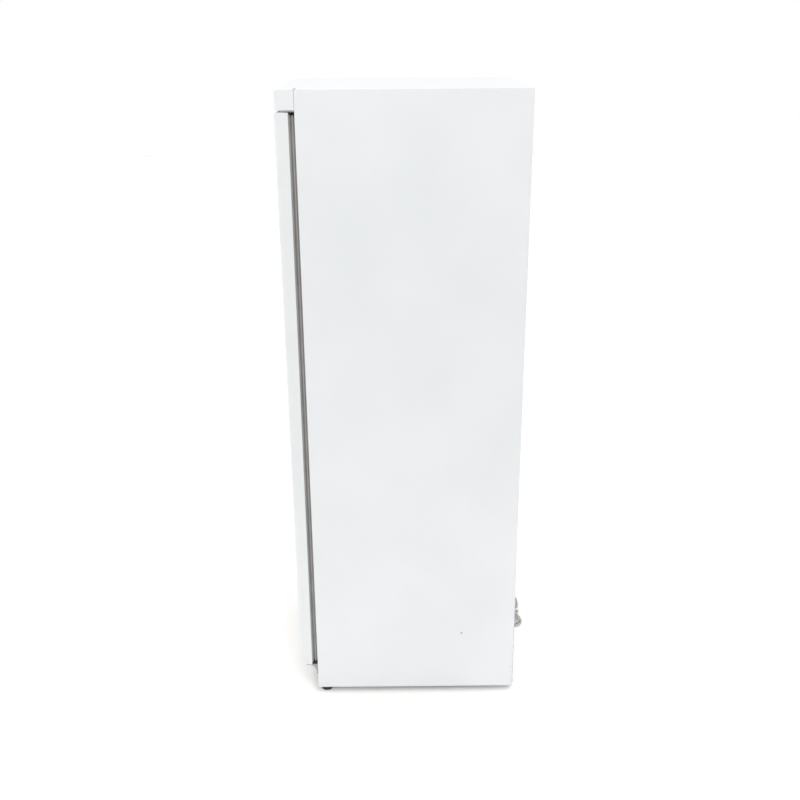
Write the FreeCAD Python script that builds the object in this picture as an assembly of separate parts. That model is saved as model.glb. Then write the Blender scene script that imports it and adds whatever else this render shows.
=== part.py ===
import FreeCAD, Part
import math
import os

# Upright glass-door ice merchandiser, in millimetres. +Z is up, the door faces -Y and is hinged
# on the +X side. The origin is on the floor, in the middle of the footprint from the door handle
# to the lead's gland; the lead itself doesn't count.

V = FreeCAD.Vector
os.makedirs("parts", exist_ok=True)

# ---- driving dimensions ----
WIDTH = 610.0
PANEL_DEPTH = 610.0
PANEL_HEIGHT = 1802.0
FOOT_HEIGHT = 20.0
SHEET = 1.0                      # painted steel skins
DOOR_DEPTH = 36.5
GASKET_DEPTH = 16.5
HANDLE_PROUD = 48.0
SCREW_HEAD = 2.0
GLAND_PROUD = 26.0               # how far the lead's gland stands out behind the rear cover
HEADER_HEIGHT = 50.0
HEADER_DEPTH = 50.1
HEADER_SEAM = 0.4
DOOR_TOP_GAP = 5.3
DOOR_BOTTOM = 105.5
DOOR_SIDE_INSET = 0.5
DOOR_STILE = 62.0
DOOR_EDGE_RADIUS = 7.0

HALF_W = WIDTH / 2
HALF_DEPTH = (HANDLE_PROUD + DOOR_DEPTH + GASKET_DEPTH + PANEL_DEPTH + SHEET + GLAND_PROUD) / 2
REAR_Y = HALF_DEPTH - GLAND_PROUD - SHEET
FACE_Y = REAR_Y - PANEL_DEPTH
TOP_Z = FOOT_HEIGHT + PANEL_HEIGHT
HEADER_Z = TOP_Z - HEADER_HEIGHT
DOOR_TOP = HEADER_Z - DOOR_TOP_GAP
DOOR_BACK_Y = FACE_Y - GASKET_DEPTH
DOOR_FRONT_Y = DOOR_BACK_Y - DOOR_DEPTH
DOOR_HALF_W = HALF_W - DOOR_SIDE_INSET

# freezing space
CAVITY_HALF_W = 250.0
CAVITY_BACK_Y = 282.0
CAVITY_FLOOR_Z = 160.0
CAVITY_TOP_Z = 1706.0
STEP_Y = 48.0                    # the floor steps up over the machine bay behind this line
STEP_Z = 345.0
LINER = 1.5
LINER_RADIUS = 14.0
FLANGE_W = 30.0                  # steel flange that the door gasket holds to
BREAKER = 2.0
BREAKER_LIP = 18.0
FOAM_GAP = 0.25

# machine bay
TRAY_Z = FOOT_HEIGHT + SHEET
TRAY = 2.0
BAY_Y = 108.0
BAY_TOP_Z = 285.0
DUCT_TOP_Z = 84.0
LINING_INSET = 11.0
BAY_HALF_W = HALF_W - 1.2

# door gasket, from the door's edge inwards and from the door's back towards the cabinet
GASKET_INSET = 6.0
GASKET_REACH = GASKET_DEPTH - 0.2

# hinge line
PIN_X = 294.0
PIN_Y = -298.0
PIN_R = 4.0
PIN_LENGTH = 22.0
BUSH_R = 7.0
RUN_CLEARANCE = 0.05
HINGE_PLATE = 3.0

# feet and rollers
FOOT_X = 278.0
FOOT_Y = -243.0
FOOT_R = 17.0
STUD_R = 5.0
ROLLER_X = 258.0
ROLLER_Y = 300.0
ROLLER_R = 15.0
ROLLER_W = 18.0
AXLE_R = 3.0

# shelves
SHELF_ZS = [390.0, 690.0, 990.0, 1290.0]
SHELF_HALF_W = 239.0
SHELF_FRONT_Y = -212.0
SHELF_BACK_Y = 256.0
RIM_R = 3.2
WIRE_R = 1.7
WIRE_PITCH = 25.0
STANDARD_YS = [-198.0, 218.0]
STANDARD_W = 16.0
STANDARD_D = 6.0
STANDARD_TOP_Z = 1560.0
LAMP_Z0, LAMP_Z1 = 240.0, 1540.0
LAMP_Y0, LAMP_Y1 = -244.0, -222.0
LAMP_PROUD = 12.0

# ceiling evaporator
EVAP_HALF_W = 225.0
EVAP_FRONT_Y = -72.0
EVAP_BACK_Y = 267.0
EVAP_BOTTOM_Z = 1572.0
EVAP_FAN = V(-60.0, EVAP_FRONT_Y, 1639.0)
EVAP_FAN_R = 50.0
CONTROL_X = 160.0
CONTROL_Z = 1640.0
CONTROL_PROUD = 12.0
KNOB_X = 142.0
SWITCH_X = 186.0
SWITCH_PIVOT_Y = EVAP_FRONT_Y - CONTROL_PROUD + 5.0
SWITCH_PIN_R = 1.6
SWITCH_PIN_HALF = 9.0
EVAP_COIL_YS = [98.0, 138.0, 178.0]
EVAP_COIL_ZS = [1619.0, 1659.0]

# condensing unit
COMPRESSOR = V(-140.0, 226.0, 38.5)
COMPRESSOR_R = 75.0
COMPRESSOR_H = 156.0
COND_FAN = V(160.0, 194.0, 150.0)
COND_FAN_R = 76.0
COIL_X0, COIL_X1 = 62.0, 258.0
COIL_Y = 146.0
COIL_HALF_D = 18.0
COIL_LOW, COIL_HIGH = 60.0, 217.5
SHROUD_Y = 172.0
SHROUD = 2.0
PAN_Y0, PAN_Y1 = 138.0, 318.0
PAN_X0, PAN_X1 = -285.0, -20.0

# mains lead
CORD_D = 7.0
GLAND_X = -262.0
GLAND_Z = 125.0
GLAND_BEND = 14.0
GLAND_R = 6.0
HANK_X = -138.0
HANK_Y = 382.0
HANK_Z = 4.8
HANK_RUN = 112.0
HANK_STEP = 8.2                  # from one loop to the next
HANK_LAYER = 7.6
HANK_OUTER = 35.35               # from the hank's middle line to its outermost run
HANK_WAIST = 10.0                # how far the tie draws each run in
HANK_RUNS = 8
CLIMB_RUN = 4
LEAD_POINTS = [
    V(-262.0, 363.0, 85.0),
    V(-262.0, 363.0, 69.0),
    V(-263.1, 367.6, 51.0),
    V(-262.4, 378.0, 35.2),
    V(-257.6, 391.4, 22.3),
    V(-247.6, 404.1, 13.2),
    V(-232.5, 413.5, 7.0),
    V(-214.0, 417.35, 4.8),
    V(-201.0, 417.35, 4.8),
]


# ---- helpers ----
def box(x0, x1, y0, y1, z0, z1):
    return Part.makeBox(x1 - x0, y1 - y0, z1 - z0, V(x0, y0, z0))


def rod(radius, start, direction, length):
    return Part.makeCylinder(radius, length, start, direction)


def cone(r0, r1, start, direction, length):
    return Part.makeCone(r0, r1, length, start, direction)


def mirror_x(shape):
    return shape.mirror(V(0, 0, 0), V(1, 0, 0))


def moved(shape, x=0.0, y=0.0, z=0.0):
    copy = shape.copy()
    copy.translate(V(x, y, z))
    return copy


def joined(shapes):
    whole = shapes[0].multiFuse(shapes[1:]) if len(shapes) > 1 else shapes[0]
    return whole.removeSplitter()


def cut(shape, tools):
    return shape.cut(Part.makeCompound(tools)) if tools else shape


def outline(points, place):
    """Closed wire through points (a, b, corner radius), set in space by place(a, b)."""
    edges = []
    ends = []
    count = len(points)
    for i, (a, b, radius) in enumerate(points):
        before = points[i - 1]
        after = points[(i + 1) % count]
        if not radius:
            ends.append((place(a, b), place(a, b)))
            continue
        here = V(a, b, 0)
        back = (V(before[0], before[1], 0) - here).normalize()
        ahead = (V(after[0], after[1], 0) - here).normalize()
        half = back.getAngle(ahead) / 2
        reach = radius / math.tan(half)
        middle = (back + ahead).normalize() * (radius / math.sin(half))
        first = here + back * reach
        last = here + ahead * reach
        crown = here + middle - middle.normalize() * radius
        start, top, end = (place(p.x, p.y) for p in (first, crown, last))
        edges.append((i, Part.Arc(start, top, end).toShape()))
        ends.append((start, end))
    lines = []
    for i in range(count):
        a = ends[i][1]
        b = ends[(i + 1) % count][0]
        if a.distanceToPoint(b) > 1e-6:
            lines.append(Part.LineSegment(a, b).toShape())
    loose = [edge for _, edge in edges] + lines
    return Part.Wire(Part.__sortEdges__(loose))


def slab(points, place, direction):
    return Part.Face(outline(points, place)).extrude(direction)


def on_yz(x):
    return lambda a, b: V(x, a, b)


def on_xz(y):
    return lambda a, b: V(a, y, b)


def on_xy(z):
    return lambda a, b: V(a, b, z)


def path_wire(points, radii):
    """Straight runs through points, joined by tangent arcs of the given radii."""
    edges = []
    start = points[0]
    for i in range(1, len(points) - 1):
        here = points[i]
        back = (points[i - 1] - here).normalize()
        ahead = (points[i + 1] - here).normalize()
        half = back.getAngle(ahead) / 2
        radius = radii[i - 1]
        reach = radius / math.tan(half)
        middle = (back + ahead).normalize()
        crown = here + middle * (radius / math.sin(half) - radius)
        first = here + back * reach
        last = here + ahead * reach
        edges.append(Part.LineSegment(start, first).toShape())
        edges.append(Part.Arc(first, crown, last).toShape())
        start = last
    edges.append(Part.LineSegment(start, points[-1]).toShape())
    return Part.Wire(edges)


def tube(wire, radius):
    start = wire.Edges[0]
    first = start.valueAt(start.FirstParameter)
    heading = start.tangentAt(start.FirstParameter)
    ring = Part.Wire(Part.makeCircle(radius, first, heading))
    shell = Part.BRepOffsetAPI.MakePipeShell(wire)
    shell.add(ring)
    shell.build()
    shell.makeSolid()
    return shell.shape()


def pipe(points, radius, bend):
    return tube(path_wire(points, [bend] * (len(points) - 2)), radius)


def save(name, shapes):
    solids = []
    for shape in shapes if isinstance(shapes, list) else [shapes]:
        solids += shape.Solids
    whole = solids[0] if len(solids) == 1 else Part.makeCompound(solids)
    for solid in solids:
        if not solid.isValid() or solid.Volume <= 0:
            print("BAD SOLID in", name)
    whole.exportStep("parts/" + name + ".step")


# ---- cabinet skins ----
COVER_SCREWS = [(s * 298.0, z) for s in (-1, 1) for z in (34.0, 160.0, 288.0)]
COVER_SCREWS += [(x, z) for x in (-110.0, 110.0) for z in (32.0, 288.0)]
GRILLE_SCREWS = [(s * 266.0, z) for s in (-1, 1) for z in (31.0, 93.0)]
PANEL_SCREW_R = 2.0
PANEL_HEAD_R = 3.8
SCREW_GAP = 0.25


def rear_holes(y0, y1):
    return [rod(PANEL_SCREW_R + SCREW_GAP, V(x, y0, z), V(0, 1, 0), y1 - y0) for x, z in COVER_SCREWS]


HINGE_BOLT_R = 2.5
HINGE_BOLTS = [(282.0, 75.0), (282.0, 91.0), (282.0, 1779.0), (282.0, 1792.0)]


def bolt_holes(y0, y1):
    return [rod(HINGE_BOLT_R + SCREW_GAP, V(x, y0, z), V(0, 1, 0), y1 - y0) for x, z in HINGE_BOLTS]


def side_panel():
    outer = [(HALF_W - FLANGE_W, FACE_Y, 0), (HALF_W, FACE_Y, 2.5),
             (HALF_W, REAR_Y, 2.0), (HALF_W - 14.0, REAR_Y, 0)]
    inner = [(HALF_W - FLANGE_W - 5, FACE_Y + SHEET, 0), (HALF_W - SHEET, FACE_Y + SHEET, 1.5),
             (HALF_W - SHEET, REAR_Y - SHEET, 1.0), (HALF_W - 19.0, REAR_Y - SHEET, 0)]
    rise = V(0, 0, PANEL_HEIGHT)
    skin = slab(outer, on_xy(FOOT_HEIGHT), rise).cut(slab(inner, on_xy(FOOT_HEIGHT), rise))
    foot_flange = box(HALF_W - 20.0, HALF_W - 0.5 * SHEET, FACE_Y + 1.5, REAR_Y - 1.5,
                      FOOT_HEIGHT, FOOT_HEIGHT + SHEET)
    skin = joined([skin, foot_flange])
    holes = rear_holes(REAR_Y - 5, REAR_Y + 1) + bolt_holes(FACE_Y - 1, FACE_Y + 3)
    return cut(skin, holes)


def top_panel():
    half = BAY_HALF_W
    lid = box(-half, half, FACE_Y, REAR_Y, TOP_Z - SHEET, TOP_Z)
    flange_half = HALF_W - FLANGE_W - 0.2
    flange = box(-flange_half, flange_half, FACE_Y, FACE_Y + SHEET, CAVITY_TOP_Z + 25.0, TOP_Z)
    front = box(flange_half, HALF_W, FACE_Y - 1, FACE_Y + 2.6, TOP_Z - 3, TOP_Z + 1)
    rear = box(HALF_W - 14.2, HALF_W, REAR_Y - 2.2, REAR_Y + 1, TOP_Z - 3, TOP_Z + 1)
    return cut(joined([lid, flange]), [front, mirror_x(front), rear, mirror_x(rear)])


def rear_panel():
    half = HALF_W - 14.2
    sheet = box(-half, half, REAR_Y - SHEET, REAR_Y, 270.0, TOP_Z - SHEET)
    ribs = []
    for x in (-190.0, 0.0, 190.0):
        profile = [(x - 9, REAR_Y - SHEET, 0), (x - 5, REAR_Y + 1.5, 2), (x + 5, REAR_Y + 1.5, 2),
                   (x + 9, REAR_Y - SHEET, 0)]
        ribs.append(slab(profile, on_xy(380.0), V(0, 0, TOP_Z - 520.0)))
    return cut(joined([sheet] + ribs), rear_holes(REAR_Y - 5, REAR_Y + 3))


def liner_shape(grow):
    """The freezing space with its stepped floor, grown outwards by grow; open at the front."""
    front = FACE_Y + BREAKER
    low = CAVITY_FLOOR_Z - grow
    back = CAVITY_BACK_Y + grow
    radius = LINER_RADIUS + grow
    step = STEP_Y + grow
    profile = [(front, low, 0), (step, low, radius), (step, STEP_Z - grow, LINER_RADIUS - grow),
               (back, STEP_Z - grow, radius), (back, CAVITY_TOP_Z + grow, radius),
               (front, CAVITY_TOP_Z + grow, 0)]
    half = CAVITY_HALF_W + grow
    return slab(profile, on_yz(-half), V(2 * half, 0, 0))


DRAIN = V(-110.0, 188.0, 0.0)
DRAIN_R = 7.0
LINE_X = 22.0                    # where the refrigerant lines go up through the bay's ceiling
LINE_YS = [138.0, 160.0]
LINE_R = 3.2


def service_holes(z0, z1, gap):
    holes = [rod(DRAIN_R + gap, V(DRAIN.x, DRAIN.y, z0), V(0, 0, 1), z1 - z0)]
    return holes + [rod(LINE_R + gap, V(LINE_X, y, z0), V(0, 0, 1), z1 - z0) for y in LINE_YS]


def inner_liner():
    shell = liner_shape(LINER).cut(liner_shape(0.0))
    low = COMPRESSOR.z + COMPRESSOR_H + 12.0
    spout = rod(DRAIN_R, V(DRAIN.x, DRAIN.y, low), V(0, 0, 1), STEP_Z - 1 - low)
    drain = rod(DRAIN_R - LINER, V(DRAIN.x, DRAIN.y, low - 1), V(0, 0, 1), STEP_Z + 5 - low)
    return cut(joined([shell, spout]), [drain])


def foam_insulation():
    front = FACE_Y + BREAKER + 0.5
    block = box(-BAY_HALF_W, BAY_HALF_W, front, REAR_Y - SHEET - 0.6, DUCT_TOP_Z, TOP_Z - SHEET)
    bay = box(-HALF_W, HALF_W, BAY_Y, REAR_Y, 0, BAY_TOP_Z)
    toe = box(-HALF_W, HALF_W, front - 1, FACE_Y + LINING_INSET, 0, DUCT_TOP_Z + 16.0)
    tools = [bay, toe, liner_shape(LINER + FOAM_GAP), *bolt_holes(front - 1, front + 12)]
    tools += rear_holes(REAR_Y - 8, REAR_Y) + service_holes(BAY_TOP_Z - 1, STEP_Z - LINER + 1, 0.3)
    return cut(block, tools)


def breaker_frame():
    top = CAVITY_TOP_Z + 24.8
    bottom = CAVITY_FLOOR_Z - 23.8
    half = HALF_W - FLANGE_W - 0.2
    plate = box(-half, half, FACE_Y, FACE_Y + BREAKER, bottom, top)
    lip = box(-CAVITY_HALF_W, CAVITY_HALF_W, FACE_Y, FACE_Y + BREAKER_LIP, CAVITY_FLOOR_Z, CAVITY_TOP_Z)
    mouth = box(-CAVITY_HALF_W + LINER, CAVITY_HALF_W - LINER, FACE_Y - 1, FACE_Y + BREAKER_LIP + 1,
                CAVITY_FLOOR_Z + LINER, CAVITY_TOP_Z - LINER)
    return joined([plate, lip]).cut(mouth)


def machine_bay_lining():
    half = BAY_HALF_W
    front = FACE_Y + LINING_INSET
    floor = box(-half, half, front, BAY_Y + SHEET, DUCT_TOP_Z - SHEET, DUCT_TOP_Z)
    wall = box(-half, half, BAY_Y, BAY_Y + SHEET, DUCT_TOP_Z - SHEET, BAY_TOP_Z)
    ceiling = box(-half, half, BAY_Y, REAR_Y - SHEET - 0.6, BAY_TOP_Z - SHEET, BAY_TOP_Z)
    return cut(joined([floor, wall, ceiling]), service_holes(BAY_TOP_Z - 5, BAY_TOP_Z + 5, 0.3))


def base_tray():
    half = BAY_HALF_W
    front = FACE_Y + 2.6
    plate = box(-half, half, front, REAR_Y, TRAY_Z, TRAY_Z + TRAY)
    rear_half = HALF_W - 14.2
    rear = box(-rear_half, rear_half, REAR_Y - TRAY, REAR_Y, TRAY_Z, TRAY_Z + 19.0)
    corner = box(rear_half, HALF_W, REAR_Y - 2.2, REAR_Y + 1, 0, 60)
    side = box(half - 2.0, half, front, REAR_Y - 6.0, TRAY_Z, TRAY_Z + 16.0)
    sides = [side, mirror_x(side)]
    nuts = [rod(9.0, V(s * FOOT_X, FOOT_Y, TRAY_Z + TRAY), V(0, 0, 1), 10.0) for s in (-1, 1)]
    tools = [rod(STUD_R + RUN_CLEARANCE, V(s * FOOT_X, FOOT_Y, 0), V(0, 0, 1), 60) for s in (-1, 1)]
    tools += [box(s * ROLLER_X - 11, s * ROLLER_X + 11, ROLLER_Y - 19, ROLLER_Y + 19, 0, 30)
              for s in (-1, 1)]
    tools += [rod(3.3, V(x, y, 0), V(0, 0, 1), 30) for x, y in compressor_bolts()]
    tools += rear_holes(REAR_Y - 5, REAR_Y + 1) + [corner, mirror_x(corner)]
    return cut(joined([plate, rear] + sides + nuts), tools)


HEADER_NOTCH = 84.0              # relief in the header's top flange over the hinge


def header_shell():
    y0 = FACE_Y - HEADER_SEAM - HEADER_DEPTH
    y1 = FACE_Y - HEADER_SEAM
    x = DOOR_HALF_W
    outer = slab([(-x, y0, 3.0), (x, y0, 3.0), (x, y1, 0), (-x, y1, 0)], on_xy(HEADER_Z),
                 V(0, 0, HEADER_HEIGHT - 0.2))
    t = 1.2
    hollow = slab([(-x + t, y0 + t, 1.8), (x - t, y0 + t, 1.8), (x - t, y1 + 1, 0), (-x + t, y1 + 1, 0)],
                  on_xy(HEADER_Z + t), V(0, 0, HEADER_HEIGHT - 0.2 - 2 * t))
    window = box(-x + 12, x - 12, y0 - 1, y0 + t + 1, HEADER_Z + 6, TOP_Z - 6)
    bracket_slot = box(272.0, x - t, y1 - 5.5, y1 + 1, HEADER_Z - 1, HEADER_Z + t + 0.5)
    notch = box(x - HEADER_NOTCH, x - t - 1.0, y1 - 3.0, y1 + 1, TOP_Z - 4.0, TOP_Z)
    tabs = [box(s * 150.0 - 12, s * 150.0 + 12, y1 - 1.2, y1 + HEADER_SEAM, TOP_Z - 21, TOP_Z - 4.0)
            for s in (-1, 1)]
    webs = [box(s * 150.0 - 12, s * 150.0 + 12, y1 - 12, y1, TOP_Z - 5.0, TOP_Z - 1.0) for s in (-1, 1)]
    return joined([cut(outer, [hollow, window, bracket_slot, notch])] + tabs + webs)


def header_face():
    y0 = FACE_Y - HEADER_SEAM - HEADER_DEPTH
    x = DOOR_HALF_W - 1.6
    plate = box(-x + 3, x - 3, y0 + 1.2, y0 + 3.6, HEADER_Z + 2.0, TOP_Z - 2.2)
    raised = box(-x + 11, x - 11, y0 + 0.2, y0 + 1.2, HEADER_Z + 6.4, TOP_Z - 6.4)
    return joined([plate, raised])


def kick_grille():
    """Front sheet below the freezing space: a plain band behind the door, louvres beneath it."""
    half = HALF_W - FLANGE_W - 0.4
    y0, y1 = FACE_Y, FACE_Y + 1.4
    plate = box(-half, half, y0, y1, 24.0, CAVITY_FLOOR_Z - 24.0)
    window = box(-half + 18, half - 18, y0 - 1, y1 + 1, 33.0, 91.0)
    parts = [plate.cut(window)]
    pitch = 58.0 / 7
    for k in range(7):
        z = 33.0 + pitch * (k + 0.5)
        blade = [(y0 + 0.2, z + 2.2, 0), (y0 + 0.2, z + 3.8, 0), (y0 + 8.5, z - 1.2, 0), (y0 + 8.5, z - 2.8, 0)]
        parts.append(slab(blade, on_yz(-half + 17), V(2 * half - 34, 0, 0)))
    for x in (-half + 17, -88.0, 86.0, half - 19):
        parts.append(box(x, x + 2, y0 + 0.4, y0 + 8.6, 32.0, 92.0))
    holes = [rod(PANEL_SCREW_R + SCREW_GAP, V(x, y0 - 1, z), V(0, 1, 0), 4) for x, z in GRILLE_SCREWS]
    return cut(joined(parts), holes)


def machine_cover():
    half = HALF_W - 2.0
    y0, y1 = REAR_Y, REAR_Y + SHEET
    plate = box(-half, half, y0, y1, 24.0, 296.0)
    slots, lips = [], []
    columns = [(-195.0, 70.0), (-110.0, 70.0), (-25.0, 70.0), (60.0, 70.0), (145.0, 70.0), (230.0, 50.0)]
    for x, length in columns:
        for k in range(9):
            z = 66.0 + 22.0 * k
            slots.append(box(x - length / 2, x + length / 2, y0 - 1, y1 + 1, z, z + 6.0))
            lip = [(y0, z + 6.0, 0), (y0 + 0.9, z + 6.9, 0), (y0 - 5.1, z + 1.4, 0), (y0 - 6.0, z + 0.5, 0)]
            lips.append(slab(lip, on_yz(x - length / 2), V(length, 0, 0)))
    gland_hole = rod(9.0, V(GLAND_X, y0 - 1, GLAND_Z), V(0, 1, 0), 4)
    plate = cut(plate, slots + [gland_hole] + rear_holes(y0 - 1, y1 + 1))
    return joined([plate] + lips)


def screw(head_r, shank_r, x, y, z, outward, grip, head=SCREW_HEAD):
    """Round-headed screw; outward is +1 or -1 along Y, y is the face under its head."""
    d = V(0, outward, 0)
    start = V(x, y, z)
    cap = rod(head_r, start, d, head)
    cap = cap.makeFillet(0.45 * head, [e for e in cap.Edges if is_ring_at(e, y + outward * head)])
    body = rod(shank_r, start, d * -1, grip)
    return joined([cap, body])


def is_ring_at(edge, y):
    return len(edge.Vertexes) == 1 and abs(edge.BoundBox.YMin - y) < 1e-6 and edge.BoundBox.YLength < 1e-6


def panel_screws():
    rear = [screw(PANEL_HEAD_R, PANEL_SCREW_R, x, REAR_Y + SHEET, z, 1, 6.0) for x, z in COVER_SCREWS]
    front = [screw(PANEL_HEAD_R, PANEL_SCREW_R, x, FACE_Y, z, -1, 6.0) for x, z in GRILLE_SCREWS]
    return rear + front


# ---- door ----
def frame_sides(profile, back_of_front, x0, x1, z0, z1, depth):
    """Left, right, bottom and top bars of one profile, mitred. Profile is (inwards, back, radius)."""
    y = back_of_front
    long_bar = V(0, 0, z1 - z0)
    cross_bar = V(x1 - x0, 0, 0)
    left = slab(profile, lambda a, b: V(x0 + a, y + b, z0), long_bar)
    right = slab(profile, lambda a, b: V(x1 - a, y + b, z0), long_bar)
    bottom = slab(profile, lambda a, b: V(x0, y + b, z0 + a), cross_bar)
    top = slab(profile, lambda a, b: V(x0, y + b, z1 - a), cross_bar)
    d = depth
    thick = V(0, 200, 0)
    wedges = [
        [(x0, z0, 0), (x0 + d, z0 + d, 0), (x0 + d, z1 - d, 0), (x0, z1, 0)],
        [(x1, z0, 0), (x1 - d, z0 + d, 0), (x1 - d, z1 - d, 0), (x1, z1, 0)],
        [(x0, z0, 0), (x1, z0, 0), (x1 - d, z0 + d, 0), (x0 + d, z0 + d, 0)],
        [(x0, z1, 0), (x1, z1, 0), (x1 - d, z1 - d, 0), (x0 + d, z1 - d, 0)],
    ]
    bars = []
    for bar, wedge in zip([left, right, bottom, top], wedges):
        bars.append(bar.common(slab(wedge, on_xz(y - 100), thick)))
    return bars


DOOR_WALL = 2.2
GLASS_CATCH = 14.0
PANE = 4.0
GLASS_FRONT = 6.25
GLASS_BACK = 30.25
DART_AT = 18.0


def door_profile():
    w, d, lip = DOOR_STILE, DOOR_DEPTH, 3.5
    box_w = w - GLASS_CATCH
    return [(0, 0, DOOR_EDGE_RADIUS), (w, 0, 1.0), (w, lip, 1.0), (box_w, lip, 0),
            (box_w, d - lip, 0), (w, d - lip, 1.0), (w, d, 1.0), (0, d, 1.5)]


def door_hollow():
    w, d, t = DOOR_STILE - GLASS_CATCH, DOOR_DEPTH, DOOR_WALL
    return [(t, t, DOOR_EDGE_RADIUS - t), (w - t, t, 0), (w - t, d - t, 0), (t, d - t, 0)]


def dart_slot():
    a, d = DART_AT - 1.6, DOOR_DEPTH
    return [(a, d - DOOR_WALL - 0.5, 0), (a + 3.2, d - DOOR_WALL - 0.5, 0), (a + 3.2, d + 1, 0), (a, d + 1, 0)]


def door_bars():
    rect = (-DOOR_HALF_W, DOOR_HALF_W, DOOR_BOTTOM, DOOR_TOP)
    outer = frame_sides(door_profile(), DOOR_FRONT_Y, *rect, DOOR_STILE)
    inner = frame_sides(door_hollow(), DOOR_FRONT_Y, *rect, DOOR_STILE + 1)
    slots = frame_sides(dart_slot(), DOOR_FRONT_Y, *rect, DOOR_STILE + 1)
    bars = [o.cut(Part.makeCompound([i, s])) for o, i, s in zip(outer, inner, slots)]
    bush = [rod(BUSH_R + 0.1, V(PIN_X, PIN_Y, DOOR_BOTTOM - 1), V(0, 0, 1), 12),
            rod(BUSH_R + 0.1, V(PIN_X, PIN_Y, DOOR_TOP - 11), V(0, 0, 1), 12)]
    return [cut(bar, bush) for bar in bars]


HANDLE_X = -272.0
HANDLE_Z0, HANDLE_Z1 = 860.0, 1180.0
HANDLE_W = 24.0
GRIP_T = 15.0


def door_handle():
    """Bow handle: a grip bar with a leg curving in to the stile at each end."""
    y0 = DOOR_FRONT_Y
    y1 = DOOR_FRONT_Y - HANDLE_PROUD
    outer = [(y0, HANDLE_Z0, 2), (y1, HANDLE_Z0 + 10, 22), (y1, HANDLE_Z1 - 10, 22), (y0, HANDLE_Z1, 2)]
    inner = [(y0 + 5, HANDLE_Z0 + 36, 0), (y1 + GRIP_T, HANDLE_Z0 + 42, 14),
             (y1 + GRIP_T, HANDLE_Z1 - 42, 14), (y0 + 5, HANDLE_Z1 - 36, 0)]
    x0 = HANDLE_X - HANDLE_W / 2
    bow = slab(outer, on_yz(x0), V(HANDLE_W, 0, 0)).cut(slab(inner, on_yz(x0 - 1), V(HANDLE_W + 2, 0, 0)))
    long_edges = [e for e in bow.Edges if is_side_edge(e, x0, x0 + HANDLE_W, y0)]
    return bow.makeFillet(3.0, long_edges)


def is_side_edge(edge, x0, x1, y0):
    """An edge that follows the bow's shape in one of its two side faces, clear of the stile."""
    b = edge.BoundBox
    in_side = b.XLength < 1e-6 and (abs(b.XMin - x0) < 1e-6 or abs(b.XMin - x1) < 1e-6)
    return in_side and b.YMin < y0 - 8.0


def glass_rect(inset):
    half = DOOR_HALF_W - DOOR_STILE + GLASS_CATCH - 1.0 - inset
    low = DOOR_BOTTOM + DOOR_STILE - GLASS_CATCH + 1.0 + inset
    high = DOOR_TOP - DOOR_STILE + GLASS_CATCH - 1.0 - inset
    return -half, half, low, high


def door_glass():
    x0, x1, z0, z1 = glass_rect(0.0)
    front = DOOR_FRONT_Y + GLASS_FRONT
    back = DOOR_FRONT_Y + GLASS_BACK
    return [box(x0, x1, front, front + PANE, z0, z1), box(x0, x1, back - PANE, back, z0, z1)]


def ring(x0, x1, y0, y1, z0, z1, wall):
    hole = box(x0 + wall, x1 - wall, y0 - 1, y1 + 1, z0 + wall, z1 - wall)
    return box(x0, x1, y0, y1, z0, z1).cut(hole)


def glass_spacer():
    x0, x1, z0, z1 = glass_rect(2.0)
    front = DOOR_FRONT_Y + GLASS_FRONT + PANE
    back = DOOR_FRONT_Y + GLASS_BACK - PANE
    return ring(x0, x1, front, back, z0, z1, 14.0)


def glazing_seals():
    x0, x1, z0, z1 = glass_rect(0.5)
    front = DOOR_FRONT_Y + GLASS_FRONT
    back = DOOR_FRONT_Y + GLASS_BACK
    wall = GLASS_CATCH + 0.5
    return [ring(x0, x1, DOOR_FRONT_Y + 3.5, front, z0, z1, wall),
            ring(x0, x1, back, DOOR_BACK_Y - 3.5, z0, z1, wall)]


def door_gasket():
    i = GASKET_INSET
    reach = GASKET_REACH
    profile = [(i, 0, 1.0), (DART_AT - 1.3, 0, 0), (DART_AT - 1.3, -4.5, 0), (DART_AT + 1.3, -4.5, 0),
               (DART_AT + 1.3, 0, 0), (30.0, 0, 1.0), (30.0, 4.0, 1.2), (24.5, 4.6, 0.8), (24.5, 7.4, 0.8),
               (29.0, 8.0, 1.5), (29.0, 12.4, 1.5), (25.5, 13.0, 0), (25.5, reach, 0.6),
               (11.0, reach, 0.6), (11.0, 13.0, 0), (7.0, 12.4, 1.5), (7.0, 8.0, 1.5), (12.0, 7.4, 0.8),
               (12.0, 4.6, 0.8), (i, 4.0, 1.2)]
    rect = (-DOOR_HALF_W, DOOR_HALF_W, DOOR_BOTTOM, DOOR_TOP)
    return joined(frame_sides(profile, DOOR_BACK_Y, *rect, 31.0))


# ---- hinges ----
GUSSET_OUT = 16.0
GUSSET_DROP = 20.0
STOP_DEPTH = 9.0
STOP_HEIGHT = 5.8
BOTTOM_PLATE_Z = 105.0           # upper face of the bottom hinge plate
TOP_PLATE_Z = 1768.0             # lower face of the top hinge plate


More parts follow.
